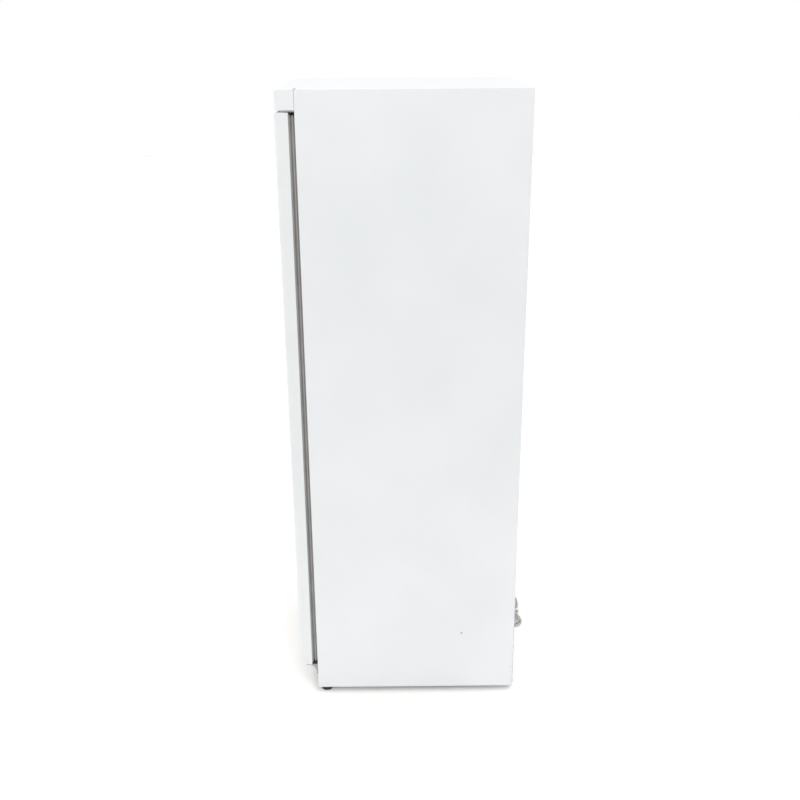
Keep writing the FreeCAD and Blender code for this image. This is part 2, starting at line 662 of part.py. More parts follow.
def hinge_bracket(plate_z, up):
    """Plate with its pin on the hinge line, and a flange on the cabinet's face; a gusset below."""
    x0, x1 = 272.0, 303.0
    s = 1 if up else -1
    y_flange = FACE_Y - HINGE_PLATE
    reach = 36.0 if not up else 31.0
    z0, z1 = sorted([plate_z, plate_z + s * reach])
    flange = box(x0, x1, y_flange, FACE_Y, z0, z1)
    lo, hi = sorted([plate_z, plate_z + s * HINGE_PLATE])
    nose = [(x0, FACE_Y, 0), (x0, PIN_Y - 2.0, 9.0), (x1, PIN_Y - 6.5, 6.0), (x1, FACE_Y, 0)]
    plate = slab(nose, on_xy(lo), V(0, 0, hi - lo))
    parts = [flange, plate]
    if not up:
        low = plate_z - HINGE_PLATE
        start = V(x1, y_flange - GUSSET_OUT, low)
        end = V(x1, y_flange, low - GUSSET_DROP)
        belly = V(x1, y_flange - 0.42 * GUSSET_OUT, low - 0.42 * GUSSET_DROP)
        corner = V(x1, y_flange, low)
        edges = [Part.LineSegment(corner, start).toShape(), Part.Arc(start, belly, end).toShape(),
                 Part.LineSegment(end, corner).toShape()]
        parts.append(Part.Face(Part.Wire(edges)).extrude(V(-2.5, 0, 0)))
    parts.append(rod(PIN_R, V(PIN_X, PIN_Y, hi if not up else lo), V(0, 0, -s), PIN_LENGTH))
    parts.append(rod(6.0, V(PIN_X, PIN_Y, lo if not up else hi), V(0, 0, s), 0.6))
    return cut(joined(parts), bolt_holes(y_flange - 1, FACE_Y + 1))


def hinge_stop():
    """Black block on the bottom plate, behind the door's swinging corner and under its gasket."""
    y0 = FACE_Y - HINGE_PLATE - STOP_DEPTH
    return slab([(y0, BOTTOM_PLATE_Z, 0), (FACE_Y - HINGE_PLATE, BOTTOM_PLATE_Z, 0),
                 (FACE_Y - HINGE_PLATE, BOTTOM_PLATE_Z + STOP_HEIGHT, 0),
                 (y0, BOTTOM_PLATE_Z + STOP_HEIGHT, 1.5)], on_yz(PIN_X - 10.0), V(18.5, 0, 0))


def hinge_bushes():
    bore = PIN_R + RUN_CLEARANCE
    low = rod(BUSH_R, V(PIN_X, PIN_Y, DOOR_BOTTOM - 0.2), V(0, 0, 1), 28.0)
    low = low.cut(rod(bore, V(PIN_X, PIN_Y, DOOR_BOTTOM - 1), V(0, 0, 1), 25.0))
    high = rod(BUSH_R, V(PIN_X, PIN_Y, DOOR_TOP - 28.0), V(0, 0, 1), 28.5)
    high = high.cut(rod(bore, V(PIN_X, PIN_Y, DOOR_TOP - 25.5), V(0, 0, 1), 28.0))
    collar = [ring_collar(DOOR_BOTTOM + DOOR_WALL + 0.2), ring_collar(DOOR_TOP - DOOR_WALL - 2.2)]
    return [joined([low, collar[0]]), joined([high, collar[1]])]


def ring_collar(z):
    disc = rod(BUSH_R + 2.0, V(PIN_X, PIN_Y, z), V(0, 0, 1), 2.0)
    trim = box(PIN_X - 20, DOOR_HALF_W - DOOR_WALL - 0.2, PIN_Y - 20, PIN_Y + 20, z - 1, z + 3)
    return disc.common(trim).cut(rod(BUSH_R - 1.0, V(PIN_X, PIN_Y, z - 1), V(0, 0, 1), 4.0))


def hinge_bolts():
    y = FACE_Y - HINGE_PLATE
    return [screw(4.4, HINGE_BOLT_R, x, y, z, -1, 10.0, 2.6) for x, z in HINGE_BOLTS]


# ---- interior ----
def shelf_standard(x_wall, side, y, z0, z1):
    d = STANDARD_D
    x0, x1 = sorted([x_wall, x_wall - side * d])
    bar = box(x0, x1, y - STANDARD_W / 2, y + STANDARD_W / 2, z0, z1)
    i0, i1 = sorted([x_wall, x_wall - side * (d - 1.2)])
    hollow = box(i0, i1, y - STANDARD_W / 2 + 1.2, y + STANDARD_W / 2 - 1.2, z0 - 1, z1 + 1)
    slots = [box(x0 - 1, x1 + 1, y - 1.6, y + 1.6, z, z + 10.0)
             for z in [z0 + 12.0 + 25.0 * k for k in range(int((z1 - z0 - 20.0) / 25.0))]]
    return cut(bar, [hollow] + slots)


def shelf_standards():
    spans = [(STANDARD_YS[0], 215.0), (STANDARD_YS[1], STEP_Z + 15.0)]
    return [shelf_standard(s * CAVITY_HALF_W, s, y, z0, STANDARD_TOP_Z) for s in (-1, 1) for y, z0 in spans]


def shelf_clips():
    clips = []
    for z in SHELF_ZS:
        for y in STANDARD_YS:
            for s in (-1, 1):
                x_out = s * (CAVITY_HALF_W - STANDARD_D)
                a, b = sorted([x_out, x_out - s * 10.0])
                seat = box(a, b, y - 5, y + 5, z - RIM_R - 3.2, z - RIM_R - 0.2)
                c, d = sorted([x_out, x_out - s * 1.4])
                back = box(c, d, y - 5, y + 5, z - RIM_R - 12.0, z + 6.0)
                clips.append(joined([seat, back]))
    return clips


def wire_shelf():
    """Epoxy-coated wire shelf at height 0: rim, two cross rods and the wires welded over them."""
    x, y0, y1 = SHELF_HALF_W, SHELF_FRONT_Y, SHELF_BACK_Y
    rim_path = outline([(-x, y0, 14.0), (x, y0, 14.0), (x, y1, 14.0), (-x, y1, 14.0)], on_xy(0.0))
    parts = [tube(rim_path, RIM_R)]
    for y in (y0 + 155.0, y1 - 155.0):
        parts.append(rod(RIM_R - 0.4, V(-x, y, 0), V(1, 0, 0), 2 * x))
    rise = RIM_R + WIRE_R - 0.7
    count = int(2 * (x - 20.0) / WIRE_PITCH)
    first = -WIRE_PITCH * count / 2
    for k in range(count + 1):
        parts.append(rod(WIRE_R, V(first + k * WIRE_PITCH, y0 - 1.5, rise), V(0, 1, 0), y1 - y0 + 3.0))
    return parts[0].multiFuse(parts[1:])


def light_bar_housing():
    x0 = -CAVITY_HALF_W
    x1 = x0 + LAMP_PROUD
    profile = [(x0, LAMP_Y0, 0), (x1, LAMP_Y0, 2.0), (x1, LAMP_Y1, 2.0), (x0, LAMP_Y1, 0)]
    return slab(profile, on_xy(LAMP_Z0), V(0, 0, LAMP_Z1 - LAMP_Z0))


def light_bar_diffuser():
    x0 = -CAVITY_HALF_W + LAMP_PROUD
    x1 = x0 + 6.0
    rim, cap = 3.0, 8.0
    profile = [(x0, LAMP_Y0 + rim, 0), (x1, LAMP_Y0 + rim, rim), (x1, LAMP_Y1 - rim, rim), (x0, LAMP_Y1 - rim, 0)]
    return slab(profile, on_xy(LAMP_Z0 + cap), V(0, 0, LAMP_Z1 - LAMP_Z0 - 2 * cap))


def evaporator_cover():
    x, y0, y1 = EVAP_HALF_W, EVAP_FRONT_Y, EVAP_BACK_Y
    z0, z1 = EVAP_BOTTOM_Z, CAVITY_TOP_Z
    t = 1.5
    shell = slab([(y0, z0, 12.0), (y1, z0, 0), (y1, z1, 0), (y0, z1, 0)], on_yz(-x), V(2 * x, 0, 0))
    inside = slab([(y0 + t, z0 + t, 10.5), (y1 + 1, z0 + t, 0), (y1 + 1, z1 + 1, 0), (y0 + t, z1 + 1, 0)],
                  on_yz(-x + t), V(2 * (x - t), 0, 0))
    fan_hole = rod(EVAP_FAN_R + 5, V(EVAP_FAN.x, y0 - 5, EVAP_FAN.z), V(0, 1, 0), 20)
    control_hole = box(CONTROL_X - 36, CONTROL_X + 42, y0 - 5, y0 + 5, CONTROL_Z - 26, CONTROL_Z + 26)
    slots = [box(xs, xs + 8.0, y0 + 230.0, y1 - 30.0, z0 - 1, z0 + 3) for xs in range(-190, 190, 24)]
    cover = cut(shell, [inside, fan_hole, control_hole] + slots)
    guard = []
    for r in (14.0, 26.0, 38.0, 50.0):
        hoop = rod(r + 1.1, V(EVAP_FAN.x, y0, EVAP_FAN.z), V(0, 1, 0), t)
        guard.append(hoop.cut(rod(r - 1.1, V(EVAP_FAN.x, y0 - 1, EVAP_FAN.z), V(0, 1, 0), t + 2)))
    for k in range(6):
        spoke = box(-1.1, 1.1, y0, y0 + t, 12.0, EVAP_FAN_R + 6)
        spoke.rotate(V(0, 0, 0), V(0, 1, 0), 60.0 * k)
        guard.append(moved(spoke, EVAP_FAN.x, 0, EVAP_FAN.z))
    guard.append(rod(14.0, V(EVAP_FAN.x, y0, EVAP_FAN.z), V(0, 1, 0), t))
    return joined([cover] + guard)


def fin_coil(x0, x1, y0, y1, z0, z1, pitch, tube_r, tube_spots, foot_z):
    """Finned coil: thin plates along X and one tube to and fro; its end plates reach to foot_z."""
    count = int((x1 - x0) / pitch)
    fins = [box(x0 + k * pitch, x0 + k * pitch + 0.8, y0, y1, z0, z1) for k in range(count + 1)]
    ends = [box(x, x + 1.2, y0, y1, min(z0, foot_z), max(z1, foot_z)) for x in (x0 - 1.2, x1)]
    tubes = [rod(tube_r, V(x0 - 8, y, z), V(1, 0, 0), x1 - x0 + 16) for y, z in tube_spots]
    caps = []
    for k in range(len(tube_spots) - 1):
        (ya, za), (yb, zb) = tube_spots[k], tube_spots[k + 1]
        x = x1 + 8 if k % 2 == 0 else x0 - 8
        s = 1 if k % 2 == 0 else -1
        a, b = V(x, ya, za), V(x, yb, zb)
        reach = a.distanceToPoint(b) / 2
        bend = Part.Wire(Part.Arc(a, (a + b) * 0.5 + V(s * reach, 0, 0), b).toShape())
        caps.append(tube(bend, tube_r))
    return joined(fins + ends + tubes + caps)


def evaporator_coil():
    low, high = EVAP_COIL_ZS
    near, middle, far = EVAP_COIL_YS
    spots = [(near, low), (near, high), (middle, high), (middle, low), (far, low), (far, high)]
    y0, y1 = near - 20.0, far + 20.0
    return fin_coil(-182.0, 182.0, y0, y1, low - 23.0, high + 23.0, 14.0, 4.8, spots, CAVITY_TOP_Z)


def fan_blade(centre, radius, blades, depth):
    """Axial fan facing -Y, its hub centred on centre; blades are flat plates pitched about the radius."""
    hub_r = 16.0 if radius < 60 else 20.0
    hub = rod(hub_r, V(0, -depth / 2, 0), V(0, 1, 0), depth)
    plates = []
    for k in range(blades):
        plate = box(-radius * 0.34, radius * 0.34, -0.8, 0.8, hub_r - 3, radius + 5)
        plate.rotate(V(0, 0, 0), V(0, 0, 1), 27.0)
        plate.rotate(V(0, 0, 0), V(0, 1, 0), 360.0 * k / blades)
        plates.append(plate)
    swept = rod(radius, V(0, -depth, 0), V(0, 1, 0), 2 * depth)
    shaft = rod(2.5, V(0, depth / 2 - 1, 0), V(0, 1, 0), 22.0)
    whole = joined([hub, shaft] + [p.common(swept) for p in plates])
    return moved(whole, centre.x, centre.y, centre.z)


EVAP_BLADE_Y = EVAP_FRONT_Y + 26.0
FAN_DEPTH = 16.0
FAN_ARM_TURN = 25.0              # the first motor arm's angle from straight up


def fan_motor(centre, blade_y, mount_y, mount_r, motor_r, motor_len):
    """Motor behind the blade, on three arms whose posts reach forward to the mounting plate."""
    y0 = blade_y + FAN_DEPTH / 2 + 6.0
    can = rod(motor_r, V(0, y0, 0), V(0, 1, 0), motor_len)
    nose = cone(motor_r, motor_r - 5.0, V(0, y0 + motor_len, 0), V(0, 1, 0), 5.0)
    parts = [can, nose]
    for k in range(3):
        arm = box(-4, 4, y0 + 4, y0 + 7, motor_r - 4, mount_r + 4)
        post = rod(3.0, V(0, mount_y, mount_r), V(0, 1, 0), y0 + 7 - mount_y)
        for piece in (arm, post):
            piece.rotate(V(0, 0, 0), V(0, 1, 0), 120.0 * k + FAN_ARM_TURN)
            parts.append(piece)
    bore = rod(2.5 + RUN_CLEARANCE, V(0, y0 - 1, 0), V(0, 1, 0), 18.0)
    whole = parts[0].multiFuse(parts[1:]).cut(bore)
    return moved(whole, centre.x, 0, centre.z)


def fan_motors():
    evap = fan_motor(EVAP_FAN, EVAP_BLADE_Y, EVAP_FRONT_Y + 1.5, EVAP_FAN_R + 10.0, 24.0, 38.0)
    cond = fan_motor(COND_FAN, COND_FAN.y, SHROUD_Y + SHROUD, COND_FAN_R + 10.0, 27.0, 45.0)
    return [evap, cond]


def control_housing():
    y0, y1 = EVAP_FRONT_Y - CONTROL_PROUD, EVAP_FRONT_Y
    face = slab([(CONTROL_X - 40, CONTROL_Z - 30, 6), (CONTROL_X + 46, CONTROL_Z - 30, 6),
                 (CONTROL_X + 46, CONTROL_Z + 30, 6), (CONTROL_X - 40, CONTROL_Z + 30, 6)],
                on_xz(y0), V(0, y1 - y0, 0))
    rim = [e for e in face.Edges if e.BoundBox.YLength < 1e-6 and abs(e.BoundBox.YMin - y0) < 1e-6]
    face = face.makeFillet(1.5, rim)
    back = box(CONTROL_X - 35.5, CONTROL_X + 41.5, y1, y1 + 12, CONTROL_Z - 25.5, CONTROL_Z + 25.5)
    knob_bore = rod(3.0 + RUN_CLEARANCE, V(KNOB_X, y0 - 1, CONTROL_Z), V(0, 1, 0), 13.0)
    well = box(SWITCH_X - 7.0, SWITCH_X + 7.0, y0 - 1, SWITCH_PIVOT_Y + 9.0, CONTROL_Z - 13, CONTROL_Z + 13)
    pin_bore = switch_pin(SWITCH_PIN_R + RUN_CLEARANCE, SWITCH_PIN_HALF + 0.3)
    return cut(joined([face, back]), [knob_bore, well, pin_bore])


def switch_pin(radius, half_length):
    return rod(radius, V(SWITCH_X - half_length, SWITCH_PIVOT_Y, CONTROL_Z), V(1, 0, 0), 2 * half_length)


def thermostat_knob():
    y0 = EVAP_FRONT_Y - CONTROL_PROUD
    c = V(KNOB_X, y0 - 0.4, CONTROL_Z)
    skirt = rod(17.0, c, V(0, -1, 0), 4.0)
    grip = cone(13.0, 11.5, c + V(0, -4.0, 0), V(0, -1, 0), 12.0)
    shaft = rod(3.0, c + V(0, -1, 0), V(0, 1, 0), 11.0)
    pointer = box(c.x - 1.2, c.x + 1.2, c.y - 16.8, c.y - 12.0, c.z + 2.0, c.z + 11.0)
    flutes = []
    for k in range(1, 12):
        flute = rod(1.8, V(13.4, c.y - 3.9, 0), V(0, -1, 0), 14.0)
        flute.rotate(V(0, 0, 0), V(0, 1, 0), 30.0 * k - 90.0)
        flutes.append(moved(flute, c.x, 0, c.z))
    return joined([cut(joined([skirt, grip]), flutes), shaft, pointer])


def lamp_switch():
    """Rocker: two faces meeting in a shallow V over a pivot along X."""
    p = SWITCH_PIVOT_Y
    profile = [(p - 8.6, CONTROL_Z - 11.2, 0.8), (p - 4.6, CONTROL_Z, 0), (p - 5.6, CONTROL_Z + 11.2, 0.8),
               (p + 2.0, CONTROL_Z + 10.0, 1.0), (p + 5.5, CONTROL_Z, 4.0), (p + 2.0, CONTROL_Z - 10.0, 1.0)]
    rocker = slab(profile, on_yz(SWITCH_X - 6.5), V(13.0, 0, 0))
    return joined([rocker, switch_pin(SWITCH_PIN_R, SWITCH_PIN_HALF)])


# ---- machine bay ----
def compressor_bolts():
    c = COMPRESSOR
    return [(c.x + dx, c.y + dy) for dx in (-78.0, 78.0) for dy in (-56.0, 56.0)]


def compressor():
    c, r, h = COMPRESSOR, COMPRESSOR_R, COMPRESSOR_H
    can = rod(r, c, V(0, 0, 1), h)
    top = [e for e in can.Edges if len(e.Vertexes) == 1 and abs(e.BoundBox.ZMin - c.z - h) < 1e-6
           and e.BoundBox.ZLength < 1e-6]
    low = [e for e in can.Edges if len(e.Vertexes) == 1 and abs(e.BoundBox.ZMax - c.z) < 1e-6
           and e.BoundBox.ZLength < 1e-6]
    can = can.makeFillet(30.0, top + low)
    seam = rod(r + 3, c + V(0, 0, 84), V(0, 0, 1), 4.0)
    plate = slab([(c.x - 92, c.y - 68, 14), (c.x + 92, c.y - 68, 14), (c.x + 92, c.y + 68, 14),
                  (c.x - 92, c.y + 68, 14)], on_xy(c.z), V(0, 0, 3.0))
    hollow = rod(r - 4, c + V(0, 0, 34), V(0, 0, 1), h - 68)
    core = rod(48, c + V(0, 0, 34), V(0, 0, 1), 76)
    holes = [rod(8.3, V(x, y, c.z - 1), V(0, 0, 1), 5) for x, y in compressor_bolts()]
    return cut(joined([can, seam, plate]), [hollow.cut(core)] + holes)


def compressor_mounts():
    mounts = []
    z0 = TRAY_Z + TRAY
    for x, y in compressor_bolts():
        low = rod(12.0, V(x, y, z0), V(0, 0, 1), COMPRESSOR.z - z0)
        neck = rod(8.0, V(x, y, z0), V(0, 0, 1), COMPRESSOR.z + 3.0 - z0)
        high = rod(11.0, V(x, y, COMPRESSOR.z + 3.0), V(0, 0, 1), 5.0)
        grommet = joined([low, neck, high]).cut(rod(3.3, V(x, y, 0), V(0, 0, 1), 80))
        bolt = joined([rod(3.0, V(x, y, TRAY_Z - 1.0), V(0, 0, 1), 34.0),
                       rod(6.0, V(x, y, COMPRESSOR.z + 8.0), V(0, 0, 1), 4.0)])
        mounts += [grommet, bolt]
    return mounts


def compressor_terminal_box():
    c = COMPRESSOR
    block = slab([(c.y - 32, c.z + 20, 4), (c.y + 32, c.z + 20, 4), (c.y + 32, c.z + 80, 4),
                  (c.y - 32, c.z + 80, 4)], on_yz(c.x + 60), V(52, 0, 0))
    return block.cut(rod(COMPRESSOR_R + 0.3, c, V(0, 0, 1), COMPRESSOR_H))


def condenser_coil():
    pitch = (COIL_HIGH - COIL_LOW) / 7
    spots = [(COIL_Y, COIL_LOW + pitch * k) for k in range(8)]
    y0, y1 = COIL_Y - COIL_HALF_D, COIL_Y + COIL_HALF_D
    return fin_coil(COIL_X0, COIL_X1, y0, y1, 44.0, 236.0, 7.0, 4.0, spots, TRAY_Z + TRAY)


def condenser_shroud():
    x0, x1, y0, y1 = COIL_X0, COIL_X1, SHROUD_Y, SHROUD_Y + SHROUD
    foot_z = TRAY_Z + TRAY
    plate = box(x0, x1, y0, y1, foot_z, 240.0)
    cheeks = [box(x, x + 1.2, COIL_Y + COIL_HALF_D + 1.0, y0, 40.0, 240.0) for x in (x0, x1 - 1.2)]
    feet = box(x0, x1, COIL_Y + COIL_HALF_D + 0.5, y1 + 14.0, foot_z, foot_z + 1.5)
    throat = rod(COND_FAN_R + 5, V(COND_FAN.x, y1, COND_FAN.z), V(0, 1, 0), 10.0)
    hole = rod(COND_FAN_R + 3, V(COND_FAN.x, y0 - 4, COND_FAN.z), V(0, 1, 0), 30.0)
    return joined([plate, feet, throat] + cheeks).cut(hole)


DRIER = V(LINE_X, LINE_YS[0], 112.0)
DRIER_LENGTH = 80.0
DRIER_NECK = 8.0


def filter_drier():
    body = rod(9.5, DRIER, V(0, 0, 1), DRIER_LENGTH)
    low = cone(2.2, 9.5, DRIER - V(0, 0, DRIER_NECK), V(0, 0, 1), DRIER_NECK)
    high = cone(9.5, 2.2, DRIER + V(0, 0, DRIER_LENGTH), V(0, 0, 1), DRIER_NECK)
    return joined([low, body, high])


def refrigerant_pipes():
    """Suction line, discharge line, and the liquid line with its filter drier."""
    top = BAY_TOP_Z + 30.0
    coil_end = COIL_X0 - 8.2
    c = COMPRESSOR
    entry_z = c.z + 111.5
    suction_y, discharge_y = LINE_YS[1], LINE_YS[0] - 14.0
    inside = rod(COMPRESSOR_R + 0.2, c, V(0, 0, 1), COMPRESSOR_H)
    suction = pipe([V(LINE_X, suction_y, top), V(LINE_X, suction_y, entry_z),
                    V(c.x + 20.0, suction_y, entry_z)], LINE_R, 12.0).cut(inside)
    discharge = pipe([V(c.x - 10.0, c.y - 60.0, entry_z), V(c.x - 10.0, discharge_y, entry_z),
                      V(2.0, discharge_y, entry_z), V(2.0, discharge_y, COIL_LOW),
                      V(2.0, COIL_Y, COIL_LOW), V(coil_end, COIL_Y, COIL_LOW)], LINE_R, 9.0).cut(inside)
    liquid = pipe([V(coil_end, COIL_Y, COIL_HIGH), V(4.0, COIL_Y, COIL_HIGH), V(4.0, COIL_Y, 84.0),
                   V(LINE_X, LINE_YS[0], 84.0), V(LINE_X, LINE_YS[0], DRIER.z - DRIER_NECK)], 2.2, 6.0)
    riser_z = DRIER.z + DRIER_LENGTH + DRIER_NECK
    riser = rod(2.2, V(LINE_X, LINE_YS[0], riser_z), V(0, 0, 1), top - riser_z)
    return [suction, discharge, liquid.fuse([filter_drier(), riser])]


def evaporation_pan():
    x0, x1, y0, y1 = PAN_X0, PAN_X1, PAN_Y0, PAN_Y1
    wall, corner = 2.5, 16.0
    z0 = COMPRESSOR.z + COMPRESSOR_H
    outer = slab([(x0, y0, corner), (x1, y0, corner), (x1, y1, corner), (x0, y1, corner)],
                 on_xy(z0), V(0, 0, 36))
    a0, a1, b0, b1 = x0 + wall, x1 - wall, y0 + wall, y1 - wall
    inner = slab([(a0, b0, corner - wall), (a1, b0, corner - wall), (a1, b1, corner - wall),
                  (a0, b1, corner - wall)], on_xy(z0 + wall), V(0, 0, 40))
    notch = box(x1 - 8, x1 + 5, y0 - 5, y0 + 40, z0 + 20, z0 + 50)
    return outer.cut(inner).cut(notch)


# ---- feet and rollers ----
def front_foot():
    pad = rod(FOOT_R, V(FOOT_X, FOOT_Y, 0), V(0, 0, 1), 9.0)
    pad = pad.makeFillet(1.5, [e for e in pad.Edges if len(e.Vertexes) == 1])
    neck = cone(15.0, 10.5, V(FOOT_X, FOOT_Y, 8.0), V(0, 0, 1), 7.0)
    hexagon = []
    for k in range(6):
        a = math.radians(60.0 * k)
        hexagon.append((FOOT_X + 9.8 * math.cos(a), FOOT_Y + 9.8 * math.sin(a), 0))
    nut = slab(hexagon, on_xy(14.0), V(0, 0, FOOT_HEIGHT - 14.3))
    stud = rod(STUD_R, V(FOOT_X, FOOT_Y, 12.0), V(0, 0, 1), 40.0)
    return joined([pad, neck, nut, stud])


def rear_roller():
    c = V(ROLLER_X - ROLLER_W / 2, ROLLER_Y, ROLLER_R)
    wheel = rod(ROLLER_R, c, V(1, 0, 0), ROLLER_W)
    rims = [e for e in wheel.Edges if len(e.Vertexes) == 1 and e.BoundBox.XLength < 1e-6]
    wheel = wheel.makeFillet(1.5, rims)
    groove = rod(9.5, c - V(1, 0, 0), V(1, 0, 0), 2.5)
    groove = groove.cut(rod(6.0, c - V(1, 0, 0), V(1, 0, 0), 3.0))
    bore = rod(AXLE_R + RUN_CLEARANCE, c - V(5, 0, 0), V(1, 0, 0), ROLLER_W + 10)
    return cut(wheel, [groove, moved(groove, ROLLER_W - 0.5), bore])


def roller_bracket():
    z0 = TRAY_Z + TRAY
    ears = []
    for x in (ROLLER_X - 11.0 + 0.2, ROLLER_X + 11.0 - 1.7):
        ear = [(ROLLER_Y - 14, z0 + 1.5, 0), (ROLLER_Y - 8, 8.0, 6), (ROLLER_Y + 8, 8.0, 6),
               (ROLLER_Y + 14, z0 + 1.5, 0)]
        ears.append(slab(ear, on_yz(x), V(1.5, 0, 0)))
    flange = box(ROLLER_X - 24, ROLLER_X + 24, ROLLER_Y - 24, ROLLER_Y + 24, z0, z0 + 1.5)
    slot = box(ROLLER_X - 10.8 + 1.5, ROLLER_X + 10.8 - 1.5, ROLLER_Y - 16.5, ROLLER_Y + 16.5, 0, 60)
    roof_gap = box(ROLLER_X - 9.5, ROLLER_X + 9.5, ROLLER_Y - 17, ROLLER_Y + 17, z0 - 1, z0 + 3)
    axle = rod(AXLE_R, V(ROLLER_X - 11.5, ROLLER_Y, ROLLER_R), V(1, 0, 0), 23.0)
    frame = joined([flange.cut(roof_gap)] + ears).cut(slot)
    return joined([frame, axle])


# ---- mains lead ----
def cord_gland():
    """Moulded elbow through the rear cover; its ribbed sleeve points down at the lead's first point."""
    y = REAR_Y + SHEET
    down_y = y + GLAND_PROUD - GLAND_R
    neck_r = GLAND_R - 0.3
    flange = rod(12.0, V(GLAND_X, y, GLAND_Z), V(0, 1, 0), 2.5)
    plug = rod(8.7, V(GLAND_X, y - SHEET - 3.0, GLAND_Z), V(0, 1, 0), SHEET + 3.0)
    sleeve_top = V(GLAND_X, down_y, GLAND_Z - GLAND_BEND - 1.0)
    elbow = tube(path_wire([V(GLAND_X, y + 2.0, GLAND_Z), V(GLAND_X, down_y, GLAND_Z), sleeve_top],
                           [GLAND_BEND]), neck_r)
    sleeve = cone(neck_r, CORD_D / 2 + 0.8, sleeve_top, V(0, 0, -1), sleeve_top.z - LEAD_POINTS[0].z)
    ribs = [rod(GLAND_R - 0.3 * k, sleeve_top - V(0, 0, 2.5 + 4.6 * k), V(0, 0, -1), 2.2) for k in range(5)]
    return joined([flange, plug, elbow, sleeve] + ribs)


def lead_radii():
    """Each corner's arc is as large as its two runs allow: 0.45 of the shorter run over tan(half turn)."""
    radii = []
    for i in range(1, len(LEAD_POINTS) - 1):
        back = LEAD_POINTS[i - 1] - LEAD_POINTS[i]
        ahead = LEAD_POINTS[i + 1] - LEAD_POINTS[i]
        turn = math.pi - back.getAngle(ahead)
        radii.append(0.45 * min(back.Length, ahead.Length) / math.tan(turn / 2))
    return radii


def cord_lead():
    radii = lead_radii()
    wire = path_wire(LEAD_POINTS, radii)
    solid = tube(wire, CORD_D / 2)
    expected = math.pi * (CORD_D / 2) ** 2 * wire.Length
    print("cord lead: length %.1f, radii %s" % (wire.Length, [round(r, 1) for r in radii]))
    print("cord lead: volume over section times length %.4f" % (solid.Volume / expected))
    return solid, wire


def biarc(a, b, heading):
    """Two arcs from a to b that leave and arrive along heading: a shallow S in one plane."""
    across = b - a - heading * (b - a).dot(heading)
    if across.Length < 1e-6:
        return [Part.LineSegment(a, b).toShape()]
    length = (b - a).dot(heading)
    shift = across.Length
    radius = (length ** 2 + shift ** 2) / (4 * shift)
    side = across.normalize()
    half_angle = math.asin(length / (2 * radius)) / 2
    step = heading * (radius * math.sin(half_angle)) + side * (radius * (1 - math.cos(half_angle)))
    middle = (a + b) * 0.5
    return [Part.Arc(a, a + step, middle).toShape(), Part.Arc(middle, b - step, b).toShape()]


def hank_point(run, at, waist=False):
    """Where a run starts (-1), ends (+1) or passes the waist (0); runs spiral in, then out a layer up."""
    inward = min(run, 2 * CLIMB_RUN - run)
    offset = HANK_OUTER - inward * HANK_STEP / 2 - (HANK_WAIST if waist else 0.0)
    side = 1 if run % 2 == 0 else -1
    heading = 1 if run % 2 == 0 else -1
    z = HANK_Z + (HANK_LAYER if run > CLIMB_RUN else 0.0)
    if run == CLIMB_RUN:
        z = HANK_Z + HANK_LAYER * (0.0, 0.5, 1.0)[at + 1]
    return V(HANK_X + heading * at * HANK_RUN / 2, HANK_Y + side * offset, z)


TAIL_POINT = V(HANK_X - HANK_RUN / 2 - 40.0, HANK_Y - 21.5, HANK_Z + HANK_LAYER)


def hank_wire():
    edges = []
    start = hank_point(0, -1)
    edges.append(Part.LineSegment(start - V(CORD_D, 0, 0), start).toShape())
    for run in range(HANK_RUNS):
        heading = V(1 if run % 2 == 0 else -1, 0, 0)
        first, waist, last = hank_point(run, -1), hank_point(run, 0, True), hank_point(run, 1)
        edges += biarc(first, waist, heading) + biarc(waist, last, heading)
        if run < HANK_RUNS - 1:
            after = hank_point(run + 1, -1)
            radius = last.distanceToPoint(after) / 2
            crown = (last + after) * 0.5 + heading * radius
            edges.append(Part.Arc(last, crown, after).toShape())
    tail_start = hank_point(HANK_RUNS - 1, 1)
    edges += biarc(tail_start, TAIL_POINT, V(-1, 0, 0))
    edges.append(Part.LineSegment(TAIL_POINT, TAIL_POINT - V(CORD_D, 0, 0)).toShape())
    return Part.Wire(edges)


def hank_gap(wire, others):
    """Least gap between stretches of the tube that are not neighbours along it, on points 2 mm apart."""
    points = wire.discretize(Distance=2.0)
    more = others.discretize(Distance=2.0)
    skip = 12
    least = 1e9
    for i, p in enumerate(points):
        for q in points[i + skip:]:
            least = min(least, (p - q).Length)
    for p in points[8:]:
        for q in more:
            least = min(least, (p - q).Length)
    return least - CORD_D


def cord_hank(lead_wire):
    wire = hank_wire()
    solid = tube(wire, CORD_D / 2)
    print("cord hank: length %.1f" % wire.Length)
    print("cord hank: least gap %.2f" % hank_gap(wire, lead_wire))
    expected = math.pi * (CORD_D / 2) ** 2 * wire.Length
    print("cord hank: volume over section times length %.4f" % (solid.Volume / expected))
    return solid


def cord_tie():
    gap, t, half_w = 0.4, 0.9, 4.0
    inward = HANK_WAIST + gap
    far = HANK_Y + HANK_OUTER - inward + gap + CORD_D / 2 + 0.4
    near = HANK_Y - HANK_OUTER + HANK_STEP / 2 + inward - gap - CORD_D / 2 - 0.4
    low = HANK_Z - CORD_D / 2 - 0.1
    high = HANK_Z + HANK_LAYER + CORD_D / 2 + 0.4
    x0 = HANK_X - half_w
    outer = slab([(near - t, low - t, 3), (far + t, low - t, 3), (far + t, high + t, 3), (near - t, high + t, 3)],
                 on_yz(x0), V(2 * half_w, 0, 0))
    inner = slab([(near, low, 2.1), (far, low, 2.1), (far, high, 2.1), (near, high, 2.1)],
                 on_yz(x0 - 1), V(2 * half_w + 2, 0, 0))
    clasp = box(x0 - 1.0, x0 + 2 * half_w + 1.0, far + t - 0.5, far + t + 3.0, low + 4.0, high - 4.0)
    return joined([outer.cut(inner), clasp])


PLUG_LENGTH = 42.0
PLUG_HALF_W = 13.0
PLUG_HALF_H = 12.0


def plug_frame():
    return TAIL_POINT - V(CORD_D, 0, 0)


